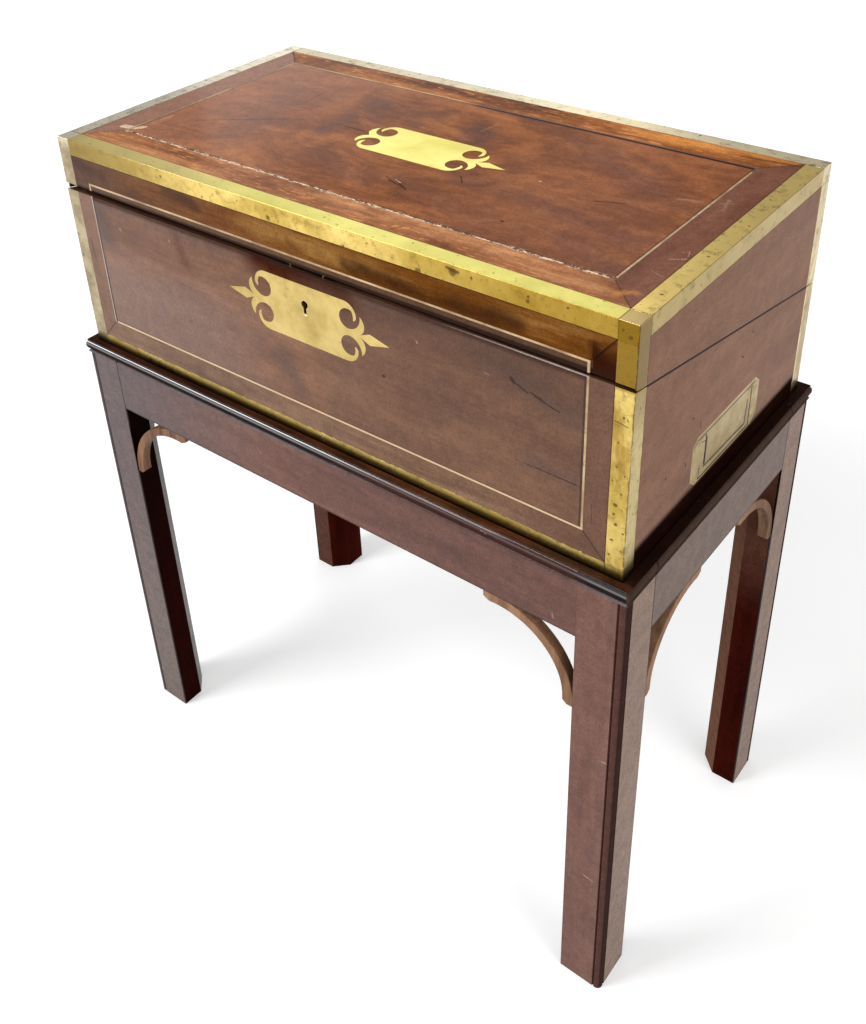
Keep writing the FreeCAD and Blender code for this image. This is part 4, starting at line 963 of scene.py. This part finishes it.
def soften(piece, width):
    """Small rounded arrises and clean shading of the flat and the round faces."""
    mesh = piece.data
    for name in ("custom_normal", "sharp_edge"):
        if name in mesh.attributes:
            mesh.attributes.remove(mesh.attributes[name])
    modify(piece, "weld", "WELD", merge_threshold=WELD_GAP)
    modify(piece, "flat", "DECIMATE", decimate_type="DISSOLVE", angle_limit=FLAT_ANGLE)
    if width:
        modify(piece, "arris", "BEVEL", width=width, segments=2, limit_method="ANGLE",
               angle_limit=SHARP_ANGLE, use_clamp_overlap=True, harden_normals=False)
    split_angle = SHARP_ANGLE_BEVELLED if width else SHARP_ANGLE
    modify(piece, "edges", "EDGE_SPLIT", split_angle=split_angle, use_edge_sharp=False)
    modify(piece, "normals", "WEIGHTED_NORMAL", mode="FACE_AREA", weight=100, keep_sharp=False)
    for polygon in mesh.polygons:
        polygon.use_smooth = True
    mesh.update()


def dress(node, material, arris):
    """Material of a piece, and small rounded arrises of the given width."""
    piece = nodes[node]
    piece.data.materials.clear()
    piece.data.materials.append(material)
    soften(piece, arris)


BRACKET_TONES = ((0.09, 0.042, 0.024), (0.26, 0.135, 0.075), (0.42, 0.24, 0.145))
CASE_TONES = ((0.09, 0.036, 0.02), (0.15, 0.064, 0.036), (0.21, 0.098, 0.056))
INSIDE_TONES = ((0.11, 0.042, 0.02), (0.21, 0.09, 0.046), (0.32, 0.15, 0.08))
BINDING_PALE = (0.7, 0.52, 0.165)
BINDING_DEEP = (0.42, 0.285, 0.055)

brass_handle = brass("brass_handle_old", (0.52, 0.4, 0.195), (0.33, 0.235, 0.095), 0.32, 0.4, 2,
                     handle_colour)

# Each row holds a material, the width of the rounded arrises, and the pieces that take them.
DRESS = [
    (stand_wood("stand_wood_x", "X", 0.3), 0.0005, ["apron_front", "apron_back", "stand_deck"]),
    (stand_wood("stand_wood_y", "Y", 1.1), 0.0005, ["apron_left", "apron_right"]),
    (stand_wood("stand_wood_z", "Z", 2.2), 0.0006,
     ["leg_front_left", "leg_front_right", "leg_back_left", "leg_back_right"]),
    (plain_wood("bracket_wood", "Z", BRACKET_TONES, 3.1, 0.2, 0.3), 0.0006,
     ["brackets_front", "brackets_back", "brackets_ends"]),
    (plain_wood("case_wood_x", "X", CASE_TONES, 4.2), 0,
     ["base_back_board", "lid_back_board", "lid_top_board", "base_front_board"]),
    (plain_wood("inside_wood_x", "X", INSIDE_TONES, 6.2, 0.2, 0.3), 0.0004,
     ["base_bottom_board", "base_flap_ledges", "lid_flap_ledges", "tray_floor", "partition_board",
      "pen_tray", "base_flap_board", "lid_flap_board"]),
    (end_wood(), 0, ["base_left_end", "base_right_end", "lid_left_end", "lid_right_end"]),
    (flame_top(), 0, ["lid_top_panel"]),
    (flame_front(), 0, ["base_front_panel"]),
    (lid_front_wood(), 0, ["lid_front_rail", "lid_front_panel", "lid_front_banding"]),
    (base_banding_wood(), 0, ["base_front_banding"]),
    (top_banding_wood(), 0, ["lid_top_banding"]),
    (ivory_string(), 0, ["base_front_string", "lid_front_string", "lid_top_string"]),
    (brass("brass_lid_old", BINDING_PALE, BINDING_DEEP, 0.3, 0.5, 0,
           binding_colour(LID_SPOTS, LID_LINES)), 0.0004, ["lid_edging", "lid_corner_pieces"]),
    (brass("brass_base_old", BINDING_PALE, BINDING_DEEP, 0.3, 0.5, 0,
           binding_colour(BASE_SPOTS, BASE_LINES)), 0.0004, ["base_corner_strips", "base_foot_strip"]),
    (brass("brass_ornament_old", (0.98, 0.9, 0.26), (0.94, 0.83, 0.2), 0.4, 0.1, 1), 0,
     ["lid_ornament"]),
    (brass("brass_plate_old", (0.59, 0.445, 0.17), (0.4, 0.285, 0.085), 0.3, 0.45, 1.5,
           keyhole_rim), 0, ["escutcheon"]),
    (brass_handle, 0, ["handle_plate_left", "handle_plate_right"]),
    (brass_handle, 0.0005, ["handle_bail_left", "handle_bail_right"]),
    (brass("brass_fitting_old", (0.6, 0.46, 0.17), (0.36, 0.25, 0.08), 0.34, 0.4, 3), 0,
     ["box_screws", "lid_screws", "hinge_lower_leaves", "hinge_upper_leaves", "lock_link_plate",
      "ink_bottle_caps"]),
    (steel(), 0, ["lock_case", "lock_bolt"]),
    (leather(), 0, ["base_flap_leather", "lid_flap_leather"]),
    (glass(), 0.0004, ["ink_bottles"]),
]
for material, arris, names in DRESS:
    for name in names:
        dress(name, material, arris)


# ---------------------------------------------------------------- floor, light and camera
# Half the length of the floor.
FLOOR = 30


def pale_floor():
    """Plain floor that fades to white away from the piece."""
    mesh = bpy.data.meshes.new("floor")
    corners = [(-FLOOR, -FLOOR, 0), (FLOOR, -FLOOR, 0), (FLOOR, FLOOR, 0), (-FLOOR, FLOOR, 0)]
    mesh.from_pydata(corners, [], [(0, 1, 2, 3)])
    floor = bpy.data.objects.new("floor", mesh)
    bpy.context.collection.objects.link(floor)
    material = bpy.data.materials.new("floor_white")
    material.use_nodes = True
    material.node_tree.nodes.clear()
    g = Graph(material.node_tree)
    path = g.add("ShaderNodeLightPath")
    seen = g.most(path.outputs["Is Camera Ray"], path.outputs["Is Glossy Ray"],
                  path.outputs["Is Transmission Ray"])
    diffuse = g.add("ShaderNodeBsdfDiffuse", {"Color": (0.8, 0.8, 0.8)})
    away = g.add("ShaderNodeVectorMath", {0: g.place()}, operation="LENGTH").outputs["Value"]
    level = g.span(away, 0.5, 2.2, 0.32, 0.75)
    glow = g.add("ShaderNodeEmission", {"Color": (1, 1, 1), "Strength": g.times(seen, level)})
    both = g.add("ShaderNodeAddShader", {0: diffuse.outputs[0], 1: glow.outputs[0]})
    g.add("ShaderNodeOutputMaterial", {"Surface": both.outputs[0]})
    mesh.materials.append(material)


def pale_world():
    """White behind the piece, and softer light from all sides."""
    world = bpy.data.worlds.new("studio")
    bpy.context.scene.world = world
    world.use_nodes = True
    world.node_tree.nodes.clear()
    g = Graph(world.node_tree)
    path = g.add("ShaderNodeLightPath")
    camera_ray = path.outputs["Is Camera Ray"]
    mirrored = g.most(path.outputs["Is Glossy Ray"], path.outputs["Is Transmission Ray"])
    plain = g.less(1, g.most(mirrored, camera_ray))
    level = g.plus(g.times(mirrored, 0.4), g.times(plain, 0.55))
    background = g.add("ShaderNodeBackground",
                       {"Color": (1, 1, 1), "Strength": g.plus(level, camera_ray)})
    g.add("ShaderNodeOutputWorld", {"Surface": background.outputs[0]})


def softbox(name, place, target, size, power):
    """Soft rectangular lamp that looks at a target."""
    light = bpy.data.lights.new(name, "AREA")
    light.shape = "RECTANGLE"
    light.size = size[0]
    light.size_y = size[1]
    light.energy = power
    lamp = bpy.data.objects.new(name, light)
    bpy.context.collection.objects.link(lamp)
    lamp.location = place
    lamp.rotation_euler = (Vector(target) - Vector(place)).to_track_quat("-Z", "Y").to_euler()


pale_floor()
pale_world()
softbox("key", (-1, -1.6, 2.2), (0, 0, 0.45), (0.9, 0.9), 33)
softbox("low", (-1.4, -1.68, 0.88), (0, 0, 0.42), (1.5, 0.4), 14)
softbox("fill", (1.9, -0.4, 1.5), (0, 0, 0.45), (1.2, 1.2), 16)
softbox("window", (-1.05, 1.35, 1.55), (0, 0, 0.6), (1.1, 1.1), 3.6)

# The photograph's camera: its place, its three axes, and its focal length and centre in pixels.
EYE = (0.49381, -0.6111, 0.91948)
RIGHT = Vector((0.781509, 0.622509, -0.041538))
DOWN = Vector((0.295056, -0.42744, -0.854539))
FORWARD = Vector((-0.549714, 0.655574, -0.517723))
FOCAL = 1164.9
CENTRE_U = 409.8
CENTRE_V = 336.9
IMAGE_W = 866
IMAGE_H = 1024
SENSOR = 36

camera_data = bpy.data.cameras.new("camera")
camera = bpy.data.objects.new("camera", camera_data)
bpy.context.collection.objects.link(camera)
turn = Matrix((RIGHT, -DOWN, -FORWARD)).transposed().to_4x4()
camera.matrix_world = Matrix.Translation(EYE) @ turn
camera_data.sensor_fit = "VERTICAL"
camera_data.sensor_height = SENSOR
camera_data.lens = FOCAL / IMAGE_H * SENSOR
camera_data.shift_x = (IMAGE_W / 2 - CENTRE_U) / IMAGE_H
camera_data.shift_y = (CENTRE_V - IMAGE_H / 2) / IMAGE_H
camera_data.clip_start = 0.01
camera_data.clip_end = 100
bpy.context.scene.camera = camera
bpy.context.scene.view_settings.view_transform = "Standard"
